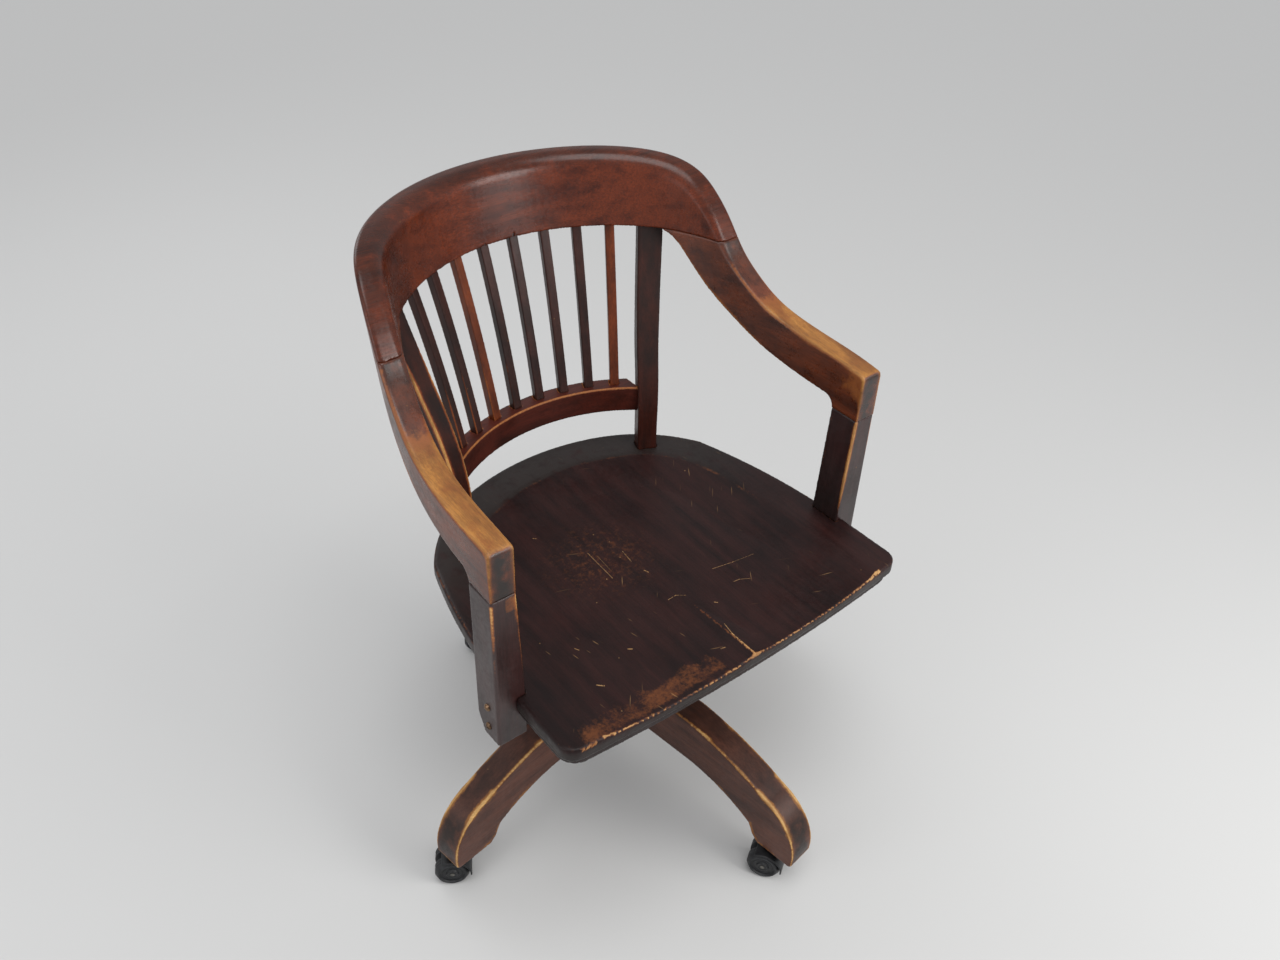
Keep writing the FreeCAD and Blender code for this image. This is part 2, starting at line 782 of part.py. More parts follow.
arm_top = pivot_z - size("yoke_drop")
boss_low = arm_top - size("boss_tall")
arm_low = arm_top - size("yoke_arm_thick")
spindle_journal = size("spindle_wide") - 2
boss = rod("yoke_boss", size("boss_wide"), size("boss_tall"), 0, 0,
           boss_low)
ear_inner = size("iron_span") - 17
deck = box("yoke_deck", ear_inner * 2 + 24, 52, size("yoke_arm_thick"),
           -1 * ear_inner - 12, pivot_y - 26, arm_low)
ears = []
for sign in (-1, 1):
    ears.append(box(f"yoke_ear_{sign + 1}", 12, 32, pivot_z - arm_low,
                    (ear_inner + 6) * sign - 6, pivot_y - 16, arm_low))
    ears.append(rod(f"yoke_eye_{sign + 1}", 32, 12, (ear_inner + 6) * sign - 6,
                    pivot_y, pivot_z, ALONG_X))
reach = box("yoke_reach", 60, size("bolt_forward") + 22, size("yoke_arm_thick"),
            -30, bolt_y - 22, arm_low)
web = prism("yoke_web", "YZ_Plane", [
    (-20, arm_low - 42), (-20, arm_low + 2), (30 - size("bolt_forward"), arm_low + 2),
    (30 - size("bolt_forward"), arm_low - 3),
], 10, both=True)
journal_bore = rod("journal_bore", spindle_journal + 2 * size("play"), 200, 0, 0,
                   boss_low - 50)
pivot_bore = rod("pivot_bore", size("pivot_rod"), 300, -150, pivot_y, pivot_z, ALONG_X)
bolt_way = box("bolt_way", size("bolt_wide") + 3, size("bolt_wide") + 6, 60,
               -1 * size("bolt_wide") / 2 - 1.5, bolt_y - size("bolt_wide") / 2 - 3,
               arm_low - 20)
keep("tilt_yoke", cut("yoke", fuse("yoke_solid", boss, deck, reach, web, *ears),
                      journal_bore, pivot_bore, bolt_way))
rod_long = size("iron_span") * 2 + 16
keep("pivot_rod", rod("pivot", size("pivot_rod"), rod_long, -1 * rod_long / 2, pivot_y,
                      pivot_z, ALONG_X))
pads = []
for sign in (-1, 1):
    pads.append(box(f"pad_{sign + 1}", 11, 22, lug_low - size("play") - arm_top,
                    21.5 * sign - 5.5, bolt_y - 11, arm_top))
keep("stop_pads", group("pad_pair", *pads))


# Tension bolt, its spring, washer and knob

bolt_low = arm_low - size("spring_long") - 32
bolt_shank = rod("bolt_shank", size("bolt_wide"), bolt_z - bolt_low, 0, bolt_y, bolt_low)
bolt_head = rod("bolt_head", 20, 31, -15.5, bolt_y, bolt_z, ALONG_X)
bolt_pins = rod("bolt_pins", 8, 48, -24, bolt_y, bolt_z, ALONG_X)
keep("tension_bolt", fuse("t_bolt", bolt_shank, bolt_head, bolt_pins))

wire = number("spring_wire")
coil_radius = number("spring_mean") / 2
spring_top = arm_low.value
spring_low = spring_top - number("spring_long")
bend_radius = wire * 1.3
coil_turns = 4
coil_low = spring_low + wire + bend_radius
coil_tall = number("spring_long") - 2 * (wire + bend_radius)


def coil_at(turns):
    angle = 2 * math.pi * turns
    return V(coil_radius * math.cos(angle), coil_radius * math.sin(angle) + bolt_y.value,
             coil_low + coil_tall * turns / coil_turns)


def coil_way(turns):
    angle = 2 * math.pi * turns
    climb = coil_tall / coil_turns / (2 * math.pi)
    if turns in (0, coil_turns):
        climb = 0
    return V(-coil_radius * math.sin(angle), coil_radius * math.cos(angle), climb).normalize()


def arc_edge(start, way, end):
    """The arc that leaves start along way and reaches end."""
    chord = end - start
    angle = way.getAngle(chord)
    toward = way - chord * (way.dot(chord) / chord.dot(chord))
    middle = (start + end) / 2 + toward.normalize() * (chord.Length / 2 * math.tan(angle / 2))
    return Part.Arc(start, middle, end).toShape()


def biarc(start, start_way, end, end_way):
    v = end - start
    t = start_way + end_way
    rest = 4 - t.dot(t)
    d = (math.sqrt(v.dot(t) ** 2 + v.dot(v) * rest) - v.dot(t)) / rest
    join = (start + start_way * d + end - end_way * d) / 2
    back = arc_edge(end, end_way * -1, join)
    return [arc_edge(start, start_way, join), back]


spring_edges = []
first, last = coil_at(0), coil_at(coil_turns)
foot = V(first.x, first.y - bend_radius, first.z - bend_radius)
foot_way = V(0, 0, 1)
head = V(last.x, last.y + bend_radius, last.z + bend_radius)
spring_edges.append(Part.makeLine(foot - V(0, 0, wire), foot))
spring_edges.append(arc_edge(foot, foot_way, first))
quarters = 4 * coil_turns
for quarter in range(quarters):
    a, b = quarter / 4, (quarter + 1) / 4
    spring_edges += biarc(coil_at(a), coil_way(a), coil_at(b), coil_way(b))
spring_edges.append(arc_edge(last, coil_way(coil_turns), head))
spring_edges.append(Part.makeLine(head, head + V(0, 0, wire)))
spring_path = Part.Wire(Part.__sortEdges__(spring_edges))
spring_face = Part.Wire(Part.makeCircle(wire / 2, foot - V(0, 0, wire), V(0, 0, 1)))
spring_tube = spring_path.makePipeShell([spring_face], True, False)
print("spring valid", spring_tube.isValid(), "volume", round(spring_tube.Volume))

marks = []
for edge in spring_path.OrderedEdges:
    count = max(3, int(edge.Length / 1.5))
    marks += edge.discretize(count)[:-1]
least = 1e9
for one in range(0, len(marks)):
    travelled = 0.0
    for other in range(one + 1, len(marks)):
        travelled += (marks[other] - marks[other - 1]).Length
        if travelled > math.pi * wire:
            least = min(least, (marks[other] - marks[one]).Length)
print("spring least gap to itself", round(least - wire, 2), "mm")
keep("tension_spring", solid("spring", spring_tube))

washer_low = arm_low - size("spring_long") - 3
keep("spring_washer", cut(
    "spring_washer_piece",
    rod("spring_disc", 40, 3, 0, bolt_y, washer_low),
    rod("spring_disc_bore", size("bolt_wide") + 2 * size("play"), 5, 0, bolt_y,
        washer_low - 1)))
knob_low = washer_low - size("play") - size("knob_tall")
knob_disc = rod("knob_disc", size("knob_wide"), size("knob_tall"), 0, bolt_y, knob_low)
notches = []
for notch_of in range(8):
    angle = math.radians(45 * notch_of + 22.5)
    notches.append(rod(f"knob_notch_{notch_of}", 12, 40,
                       (size("knob_wide") / 2 + 2.5) * math.cos(angle),
                       bolt_y + (size("knob_wide") / 2 + 2.5) * math.sin(angle),
                       knob_low - 5))
keep("tension_knob", cut(
    "knob", knob_disc,
    rod("knob_bore", size("bolt_wide") + 2 * size("running_play"), 40, 0, bolt_y,
        knob_low - 5), *notches))


# Base: hub, four arched legs, the sleeve that guides the spindle, and the height nut

leg_top = seat_top - size("base_drop")
hub_top = leg_top + size("hub_proud")
hub_low = hub_top - size("hub_tall")
turn_legs = FreeCAD.Rotation(V(0, 0, 1), number("leg_turn"))
hub_prism = doc.addObject("Part::Prism", "hub_prism")
hub_prism.Polygon = 8
corner_share = 1 / math.cos(math.radians(22.5)) / 2
hub_prism.Circumradius = number("hub_flats") * corner_share
bind(hub_prism, "Circumradius", size("hub_flats") * corner_share)
hub_prism.Height = number("hub_tall")
bind(hub_prism, "Height", size("hub_tall"))
place(hub_prism, 0, 0, hub_low, FreeCAD.Rotation(V(0, 0, 1), number("leg_turn") + 22.5))
sleeve_wide = size("spindle_wide") + 2 * size("play") + 2 * size("sleeve_wall")
sleeve_bore = rod("sleeve_bore", size("spindle_wide") + 2 * size("play"), 300, 0, 0,
                  hub_low - 50)
sleeve_tube = rod("sleeve_tube", sleeve_wide, size("hub_tall") + 3, 0, 0, hub_low)
sleeve_flange = rod("sleeve_flange", 66, 3, 0, 0, hub_top)
sleeve_screws = []
for screw_of in range(4):
    angle = math.radians(number("leg_turn") + 45 + 90 * screw_of)
    screw = turned(f"sleeve_screw_{screw_of}", [
        (0, -22), (1.6, -20), (1.6, -2.8), (3.4, -0.2), (0, -0.2),
    ])
    sleeve_screws.append(place(screw, 26 * math.cos(angle), 26 * math.sin(angle),
                               hub_top + 3))
sleeve_screw_set = keep("sleeve_screws", group("sleeve_screw_set", *sleeve_screws))
keep("spindle_sleeve", cut("sleeve", fuse("sleeve_solid", sleeve_tube, sleeve_flange),
                           sleeve_bore, sleeve_screw_set))
keep("base_hub", cut("hub", hub_prism, rod("hub_bore", sleeve_wide, 300, 0, 0,
                                           hub_low - 50), sleeve_screw_set))

reach_end = size("leg_reach")
castor_reach = reach_end - size("castor_inset")
sole = size("foot_height")
arch = leg_top - sole
root = size("hub_flats") / 2
LEG_SIDES = [
    (root, leg_top - arch * 0.5532), (150, leg_top - arch * 0.5532),
    (reach_end - 79, leg_top - arch * 0.8014), (reach_end - 71, leg_top - arch * 0.9291),
    (reach_end - 63, sole + 2), (reach_end - 61, sole), (reach_end - 5, sole),
    (reach_end - 1, sole + 4), (reach_end - 0.5, sole + 17),
    (reach_end - 55, leg_top - arch * 0.3121), (140, leg_top - 0.5), (root, leg_top),
]
LEG_BENDS = {1: -234.0, 8: 84.0, 9: 425.0}
LEG_NAMES = (("right", 0), ("rear", 90), ("left", 180), ("front", 270))
sockets = []
for name, quarter in LEG_NAMES:
    angle = math.radians(number("leg_turn") + quarter)
    socket = cut(f"socket_{name}",
                 rod(f"socket_tube_{name}", size("stem_wide") + 4, 36, 0, 0, 0),
                 rod(f"socket_bore_{name}", size("stem_wide") + 2 * size("play"), 38,
                     0, 0, -1))
    sockets.append(place(socket, castor_reach * math.cos(angle),
                         castor_reach * math.sin(angle), sole))
socket_set = keep("castor_sockets", group("socket_set", *sockets))
for name, quarter in LEG_NAMES:
    turn = FreeCAD.Rotation(V(0, 0, 1), number("leg_turn") + quarter)
    plain = prism(f"leg_{name}_plain", "XZ_Plane", LEG_SIDES, size("leg_wide"), LEG_BENDS,
                  both=True)
    smooth = rounded(
        f"leg_{name}_round", plain, 3.0,
        lambda edge: abs(abs(middle_of(edge).y) - number("leg_wide") / 2) < 0.01
        and middle_of(edge).z > leg_top.value - 40
        and middle_of(edge).x > number("hub_flats"))
    hole = rod(f"leg_hole_{name}", size("stem_wide") + 4, 56, castor_reach, 0,
               sole - 20)
    leg = keep(f"leg_{name}", cut(f"leg_{name}_bored", smooth, hole))
    leg.Placement = FreeCAD.Placement(V(0, 0, 0), turn)

keep("thrust_washer", cut(
    "thrust", rod("thrust_disc", 60, 2, 0, 0, hub_top + 3),
    rod("thrust_bore", size("spindle_wide") + 4, 10, 0, 0, hub_top)))
nut_low = hub_top + 5 + size("play")
nut_disc = rod("nut_disc", size("nut_wide"), size("nut_tall"), 0, 0, nut_low)
nut_neck = rod("nut_neck", size("spindle_wide") + 18, size("nut_tall") + 3, 0, 0, nut_low)
grips = []
for grip_of in range(12):
    angle = math.radians(30 * grip_of)
    grips.append(rod(f"nut_grip_{grip_of}", 10, 60,
                     (size("nut_wide") / 2 + 2) * math.cos(angle),
                     (size("nut_wide") / 2 + 2) * math.sin(angle), nut_low - 10))
keep("height_nut", cut(
    "nut", fuse("nut_solid", nut_disc, nut_neck),
    rod("nut_bore", size("spindle_wide") + 2 * size("running_play"), 80, 0, 0,
        nut_low - 20), *grips))

low = hub_low - size("spindle_below")
shoulder = boss_low - size("play")
spindle_r = size("spindle_wide") / 2
journal_top = arm_top + size("play")
keep("height_spindle", turned("spindle", [
    (0, low), (spindle_r - 2, low), (spindle_r, low + 2), (spindle_r, shoulder - 5),
    (spindle_r + 7, shoulder - 5), (spindle_r + 7, shoulder), (spindle_r - 1, shoulder),
    (spindle_r - 1, journal_top), (0, journal_top),
]))
keep("spindle_cap", turned("cap", [
    (0, journal_top), (19, journal_top), (19, journal_top + 4), (17, journal_top + 6),
    (0, journal_top + 6),
]))


# Castors: hood with its stem, axle and a pair of wheels, trailing behind the stem

CASTOR_HEADINGS = {"right": 32.0, "rear": 150.0, "left": 148.0, "front": 122.0}
wheel = size("castor_wheel")
trail = size("castor_trail")
tread = size("castor_tread")
axle_z = wheel / 2
gap = 4.8
for name, quarter in LEG_NAMES:
    angle = math.radians(number("leg_turn") + quarter)
    spot = (castor_reach * math.cos(angle), castor_reach * math.sin(angle), 0)
    turn = FreeCAD.Rotation(V(0, 0, 1), CASTOR_HEADINGS[name])
    collar_top = sole - size("play")
    drum = rod(f"hood_drum_{name}", wheel + 7, 2 * tread + 12, trail, -1 * tread - 6, axle_z,
               ALONG_Y)
    wells = [rod(f"hood_well_{name}_{side_of}", wheel + 2.4, tread + 9, trail, y, axle_z,
                 ALONG_Y)
             for side_of, y in enumerate((Size.of(gap - 0.6), -1 * tread - gap - 8.4))]
    skirt = box(f"hood_skirt_{name}", 100, 100, wheel / 2 + 16, trail - 50, -50, -19)
    tail = box(f"hood_tail_{name}", 60, 100, 100, trail + 14, -50, -20)
    web_disc = rod(f"hood_web_{name}", 26, 8, trail, -4, axle_z, ALONG_Y)
    collar = rod(f"hood_collar_{name}", 26, collar_top - 42, 0, 0, 42)
    stem = keep(f"castor_stem_{name}", place(
        rod(f"stem_{name}", size("stem_wide"), collar_top - 48 + 34, 0, 0, 48), 0, 0, 48))
    axle = rod(f"axle_{name}", 6, 2 * tread + 10, trail, -1 * tread - 5, axle_z, ALONG_Y)
    shell = cut(f"hood_shell_{name}", fuse(f"hood_block_{name}", drum, collar), *wells,
                skirt, tail)
    hood = cut(f"hood_{name}", fuse(f"hood_solid_{name}", shell, web_disc),
               rod(f"hood_axle_bore_{name}", 6, 60, trail, -30, axle_z, ALONG_Y),
               rod(f"hood_stem_bore_{name}", size("stem_wide"), 40, 0, 0, 48))
    keep(f"castor_hood_{name}", place(hood, *spot, turn))
    place(stem, spot[0], spot[1], 48)
    keep(f"castor_axle_{name}", group(f"axle_set_{name}", axle))
    place(parts[f"castor_axle_{name}"], *spot, turn)
    wheels = []
    for side_of, sign in enumerate((-1, 1)):
        disc = turned(f"wheel_{name}_{side_of}", [
            (3.1, 0), (wheel / 2 - 2, 0), (wheel / 2, 2), (wheel / 2, tread - 4),
            (wheel / 2 - 4, tread), (wheel / 2 - 6, tread), (wheel / 2 - 7, tread - 2.5),
            (8, tread - 2.5), (7, tread), (3.1, tread),
        ])
        facing = ALONG_Y if sign > 0 else FreeCAD.Rotation(V(1, 0, 0), 90)
        wheels.append(place(disc, trail, gap * sign, axle_z, facing))
    keep(f"castor_wheels_{name}", place(group(f"wheel_pair_{name}", *wheels), *spot, turn))


# Check each piece and write it

doc.recompute()
problems = []
for thing in doc.Objects:
    if {"Invalid", "Error"} & set(thing.State):
        problems.append(f"{thing.Name} {thing.State}")
for name, thing in parts.items():
    shape = thing.Shape
    if shape.isNull() or not shape.isValid() or not shape.Solids:
        problems.append(f"{name} has no sound solid")
        continue
    shape.exportStep(os.path.join("parts", f"{name}.step"))
    room = shape.BoundBox
    print(f"{name:22s} solids {len(shape.Solids)}  x {room.XMin:7.1f} {room.XMax:7.1f}"
          f"  y {room.YMin:7.1f} {room.YMax:7.1f}  z {room.ZMin:7.1f} {room.ZMax:7.1f}")
print("parts", len(parts))
if problems:
    raise SystemExit("\n".join(problems))
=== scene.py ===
"""Looks of a wooden swivel desk chair: worn shellac, bronzed screws, black castors.

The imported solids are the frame.  Every piece below takes its place from them, gets its
softened, hand-worn edges here, and rides on the body that carries it.
"""

from __future__ import annotations

import logging
import math
from contextlib import contextmanager
from dataclasses import dataclass, field, replace
from enum import Enum
from functools import cache
from typing import Callable, Iterator, Sequence

import bmesh
import bpy
import numpy as np
from mathutils import Euler, Matrix, Vector, kdtree


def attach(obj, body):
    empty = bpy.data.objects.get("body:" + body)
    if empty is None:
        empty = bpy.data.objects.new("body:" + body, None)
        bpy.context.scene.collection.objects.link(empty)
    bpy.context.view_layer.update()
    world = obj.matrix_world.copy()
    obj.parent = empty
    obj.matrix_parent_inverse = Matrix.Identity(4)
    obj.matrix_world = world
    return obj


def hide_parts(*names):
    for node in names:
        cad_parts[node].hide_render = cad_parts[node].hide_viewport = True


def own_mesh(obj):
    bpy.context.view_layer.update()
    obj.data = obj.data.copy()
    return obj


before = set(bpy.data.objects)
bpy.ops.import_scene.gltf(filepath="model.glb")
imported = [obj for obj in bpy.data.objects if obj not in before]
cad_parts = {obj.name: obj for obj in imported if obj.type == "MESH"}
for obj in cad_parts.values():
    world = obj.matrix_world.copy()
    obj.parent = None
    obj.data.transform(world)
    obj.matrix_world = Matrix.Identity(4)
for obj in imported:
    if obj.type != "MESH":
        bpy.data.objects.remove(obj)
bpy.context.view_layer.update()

log = logging.getLogger("desk_chair")

MM = 0.001

# Heights in millimetres: both glued joints of the bow, and the seat where it is scratched
CREST_JOINT = 752.0
ARM_JOINT = 592.0
SCRATCH_LEVEL = 419.0

# A turn that lines up with no face, so that a remesh leaves no steps along one
ASKEW = Euler((0.53, 0.31, 0.41)).to_matrix().to_4x4()

# How far from a joint's plane its edges are kept tight and count as glued, and how much
# of the easing they get
TIGHT_REACH = 1.6
GLUED_REACH = 0.5
TIGHT_SHARE = 0.25

# Wear: bend of a face that counts as fully rounded and the share of it that counts as
# flat, how near an edge the wear is full, and how far its wide band reaches
FULL_BEND = 160.0
FLAT_SHARE = 0.25
EDGE_CORE = 0.6
WIDE_REACH = 13.0

# A point far under the floor, for a solid without any sharp edge
NOWHERE = Vector((0.0, 0.0, -9.0))


# Small tools for meshes


def new_object(name: str, data: bpy.types.ID) -> bpy.types.Object:
    """Puts an object with its data into the scene."""
    thing = bpy.data.objects.new(name, data)
    bpy.context.scene.collection.objects.link(thing)
    return thing


def select_only(piece: bpy.types.Object) -> None:
    """Makes one object the only selected and the active one."""
    bpy.ops.object.select_all(action="DESELECT")
    piece.select_set(True)
    bpy.context.view_layer.objects.active = piece


@contextmanager
def edit_mode(piece: bpy.types.Object) -> Iterator[None]:
    """Holds one object in edit mode with nothing of it selected."""
    select_only(piece)
    bpy.ops.object.mode_set(mode="EDIT")
    bpy.ops.mesh.select_all(action="DESELECT")
    yield
    bpy.ops.object.mode_set(mode="OBJECT")


def select_where(piece: bpy.types.Object, kind: str, test: Callable[..., bool]) -> None:
    """Selects the faces or points of a piece in edit mode that pass a test.

    Args:
        piece: the object in edit mode.
        kind: FACE or VERT.
        test: says for each face or point whether it belongs to the selection.
    """
    bpy.ops.mesh.select_mode(type=kind)
    bpy.ops.mesh.select_all(action="DESELECT")
    shape = bmesh.from_edit_mesh(piece.data)
    chosen = [part for part in (shape.faces if kind == "FACE" else shape.verts)
              if test(part)]
    for part in chosen:
        part.select_set(True)
    if kind == "VERT":
        shape.select_flush(True)
    bmesh.update_edit_mesh(piece.data)


def finish_with(piece: bpy.types.Object, kind: str, **settings: object) -> None:
    """Adds one modifier with its settings and applies it."""
    select_only(piece)
    modifier = piece.modifiers.new(kind.title(), kind)
    for name, value in settings.items():
        setattr(modifier, name, value)
    bpy.ops.object.modifier_apply(modifier=modifier.name)


def shade_round(piece: bpy.types.Object, degrees: float = 35.0) -> None:
    """Shades a piece smooth up to an angle."""
    select_only(piece)
    bpy.ops.object.shade_smooth_by_angle(angle=math.radians(degrees))


def move_mesh(piece: bpy.types.Object, matrix: Matrix) -> None:
    """Moves the mesh and leaves the object at the origin."""
    piece.data.transform(matrix)
    piece.data.update()


def merged_copy(node: str, name: str) -> bpy.types.Object:
    """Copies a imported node's mesh into a new object and joins its loose triangles."""
    piece = new_object(name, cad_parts[node].data.copy())
    piece.data.materials.clear()
    with edit_mode(piece):
        bpy.ops.mesh.select_all(action="SELECT")
        bpy.ops.mesh.remove_doubles(threshold=0.01 * MM)
        bpy.ops.mesh.normals_make_consistent(inside=False)
    return piece


def joined(pieces: Sequence[bpy.types.Object], name: str) -> bpy.types.Object:
    """Joins several objects into one and names it."""
    select_only(pieces[0])
    for piece in pieces:
        piece.select_set(True)
    bpy.ops.object.join()
    whole = bpy.context.view_layer.objects.active
    whole.name = name
    return whole


def mount(piece: bpy.types.Object, body: str, slot: str, *nodes: str) -> bpy.types.Object:
    """Fixes a finished piece to its body and hides the solids behind it."""
    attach(piece, body)
    if nodes:
        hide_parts(*nodes)
    log.info("%s rides on %s, %d faces", piece.name, body, len(piece.data.polygons))
    return piece


# Masks that are read from a surface's own form


def ramp(values: np.ndarray, low: float, high: float) -> np.ndarray:
    """Smooth step from 0 at low to 1 at high, also where low is above high."""
    share = np.clip((values - low) / (high - low), 0.0, 1.0)
    return share * share * (3.0 - 2.0 * share)


def band(values: np.ndarray, low: float, high: float, soft: float) -> np.ndarray:
    """1 between low and high, falling to 0 within soft outside them."""
    return ramp(values, low - soft, low) * ramp(values, high + soft, high)


@dataclass
class Surface:
    """Points, normals and bends of a mesh, for painting masks on it."""

    piece: bpy.types.Object
    place: np.ndarray = field(init=False)
    facing: np.ndarray = field(init=False)
    ends: np.ndarray = field(init=False)
    bend: np.ndarray = field(init=False)

    def __post_init__(self) -> None:
        """Reads the mesh once."""
        mesh = self.piece.data
        count = len(mesh.vertices)
        flat = np.zeros(count * 3, np.float32)
        mesh.vertices.foreach_get("co", flat)
        self.place = flat.reshape(-1, 3).astype(float)
        normals = np.zeros(count * 3, np.float32)
        mesh.vertices.foreach_get("normal", normals)
        self.facing = normals.reshape(-1, 3).astype(float)
        ends = np.zeros(len(mesh.edges) * 2, np.int32)
        mesh.edges.foreach_get("vertices", ends)
        self.ends = ends.reshape(-1, 2)
        one, other = self.ends[:, 0], self.ends[:, 1]
        step = self.place[other] - self.place[one]
        turn = self.facing[other] - self.facing[one]
        curl = (turn * step).sum(1) / np.maximum((step * step).sum(1), 1e-12)
        self.bend = self.mean_of_ends(curl, curl)

    def mean_of_ends(self, at_one: np.ndarray, at_other: np.ndarray) -> np.ndarray:
        """Averages values of the edges at their end points."""
        count = len(self.place)
        one, other = self.ends[:, 0], self.ends[:, 1]
        total = np.bincount(one, at_one, count) + np.bincount(other, at_other, count)
        hits = np.bincount(one, minlength=count) + np.bincount(other, minlength=count)
        return total / np.maximum(hits, 1)

    def spread(self, values: np.ndarray, passes: int) -> np.ndarray:
        """Blurs values over the mesh."""
        for _ in range(passes):
            around = self.mean_of_ends(values[self.ends[:, 1]], values[self.ends[:, 0]])
            values = 0.5 * values + 0.5 * around
        return values

    def store(self, name: str, values: np.ndarray) -> None:
        """Keeps values as a point attribute of the mesh."""
        mesh = self.piece.data
        layer = mesh.attributes.new(name, "FLOAT", "POINT")
        layer.data.foreach_set("value", np.clip(values, 0.0, 1.0).astype(np.float32))

    def axes(self) -> tuple[np.ndarray, np.ndarray, np.ndarray]:
        """X, Y and Z of every point, in millimetres."""
        x, y, z = (self.place / MM).T
        return x, y, z


# Finishes


class Grain(Enum):
    """Turns that bring the length of the wood onto the X axis."""

    ACROSS = (0.0, 0.0, 0.0)
    FORWARD = (0.0, 0.0, math.radians(-90.0))
    UPRIGHT = (0.0, math.radians(90.0), 0.0)
    LEG_SIDEWAYS = (0.0, 0.0, math.radians(-7.81))
    LEG_FORWARD = (0.0, 0.0, math.radians(-97.81))


def tint(code: str) -> tuple[float, float, float, float]:
    """Turns a colour written as six hex digits into linear values."""
    values = [int(code[place:place + 2], 16) / 255.0 for place in (0, 2, 4)]
    linear = [v / 12.92 if v <= 0.04045 else ((v + 0.055) / 1.055) ** 2.4 for v in values]
    return (linear[0], linear[1], linear[2], 1.0)


class Wiring:
    """Adds nodes to a tree and links them."""

    def __init__(self, tree: bpy.types.NodeTree) -> None:
        """Keeps the tree that the nodes go into."""
        self.tree = tree

    def feed(self, socket: bpy.types.NodeSocket, value: object) -> None:
        """Links a socket, or sets its value."""
        if isinstance(value, bpy.types.NodeSocket):
            self.tree.links.new(value, socket)
        else:
            socket.default_value = value

    def fill(self, node: bpy.types.Node, inputs: dict) -> bpy.types.Node:
        """Feeds several sockets of a node, each given by its name or index."""
        for name, value in inputs.items():
            self.feed(node.inputs[name], value)
        return node

    def add(self, kind: str, inputs: dict | None = None, **settings: object) -> bpy.types.Node:
        """Adds a node with its settings and inputs.

        Args:
            kind: the node type without its ShaderNode prefix.
            inputs: socket name or index, and what goes into it.
            settings: the node's own settings.

        Returns:
            The new node.
        """
        node = self.tree.nodes.new("ShaderNode" + kind)
        for name, value in settings.items():
            setattr(node, name, value)
        return self.fill(node, inputs or {})

    def noise(self, place: object, scale: float, detail: float = 3.0,
              rough: float = 0.55) -> bpy.types.NodeSocket:
        """Noise value at a place."""
        return self.add("TexNoise", {"Vector": place, "Scale": scale, "Detail": detail,
                                     "Roughness": rough}).outputs["Fac"]

    def stretch(self, place: object, times: Sequence[float]) -> bpy.types.NodeSocket:
        """Scales a place along its axes."""
        return self.add("VectorMath", {0: place, 1: tuple(times)},
                        operation="MULTIPLY").outputs[0]

    def sum(self, *terms: object) -> bpy.types.NodeSocket:
        """Adds values up."""
        total = terms[0]
        for term in terms[1:]:
            total = self.add("Math", {0: total, 1: term}, operation="ADD").outputs[0]
        return total

    def times(self, one: object, other: object) -> bpy.types.NodeSocket:
        """Multiplies two values."""
        return self.add("Math", {0: one, 1: other}, operation="MULTIPLY").outputs[0]

    def step(self, value: object, low: object, high: object) -> bpy.types.NodeSocket:
        """Smooth step from 0 at low to 1 at high."""
        return self.add("MapRange", {"Value": value, "From Min": low, "From Max": high},
                        interpolation_type="SMOOTHSTEP").outputs["Result"]

    def blend(self, share: object, one: object, other: object) -> bpy.types.NodeSocket:
        """Mixes two colours, which go into the node's sockets 6 and 7."""
        return self.add("Mix", {0: share, 6: one, 7: other}, data_type="RGBA").outputs[2]

    def object_place(self) -> bpy.types.NodeSocket:
        """Coordinates of the object itself."""
        return self.add("TexCoord").outputs["Object"]

    def attribute(self, name: str) -> bpy.types.NodeSocket:
        """Value of a point attribute."""
        return self.add("Attribute", attribute_name=name,
                        attribute_type="GEOMETRY").outputs["Fac"]

    def group(self, tree: bpy.types.NodeTree, inputs: dict) -> bpy.types.Node:
        """Places a node group with its values."""
        node = self.tree.nodes.new("ShaderNodeGroup")
        node.node_tree = tree
        return self.fill(node, inputs)


def new_group(name: str, takes: dict[str, str], gives: dict[str, str]) -> tuple[
        Wiring, dict[str, bpy.types.NodeSocket], bpy.types.Node]:
    """Starts a shader node group.

    Args:
        name: the group's name.
        takes: input names with the kind of each socket.
        gives: output names with the kind of each socket.

    Returns:
        The wiring of the group, its inputs by name, and its output node.
    """
    tree = bpy.data.node_groups.new(name, "ShaderNodeTree")
    for way, sockets in (("INPUT", takes), ("OUTPUT", gives)):
        for label, kind in sockets.items():
            tree.interface.new_socket(label, in_out=way, socket_type="NodeSocket" + kind)
    entry = tree.nodes.new("NodeGroupInput")
    leave = tree.nodes.new("NodeGroupOutput")
    return Wiring(tree), {label: entry.outputs[label] for label in takes}, leave


# How often fibres, bands, mottling and pores come back in a metre, along the wood and
# twice across it
FIBRES = (32.0, 640.0, 640.0)
RIBBONS = (5.0, 62.0, 62.0)
MOTTLING = (26.0, 44.0, 44.0)
PORES = (95.0, 1500.0, 1500.0)

# Families of fine scratches: turn in degrees, stretch along and across, width of a line
SCRATCH_WAYS = ((25.0, 7.0, 105.0, 0.095), (-52.0, 9.0, 150.0, 0.11),
                (80.0, 14.0, 120.0, 0.1))

# Shares of a wood finish's colours and height: thinned shellac, light marks, and bump
# with its depth in millimetres
THIN_SHARE = 0.85
MARK_SHARE = 0.6
WOOD_BUMP = 0.22
WOOD_DEPTH = 0.25
HARD_DEPTH = 0.2

BLACK = (0.0, 0.0, 0.0, 1.0)


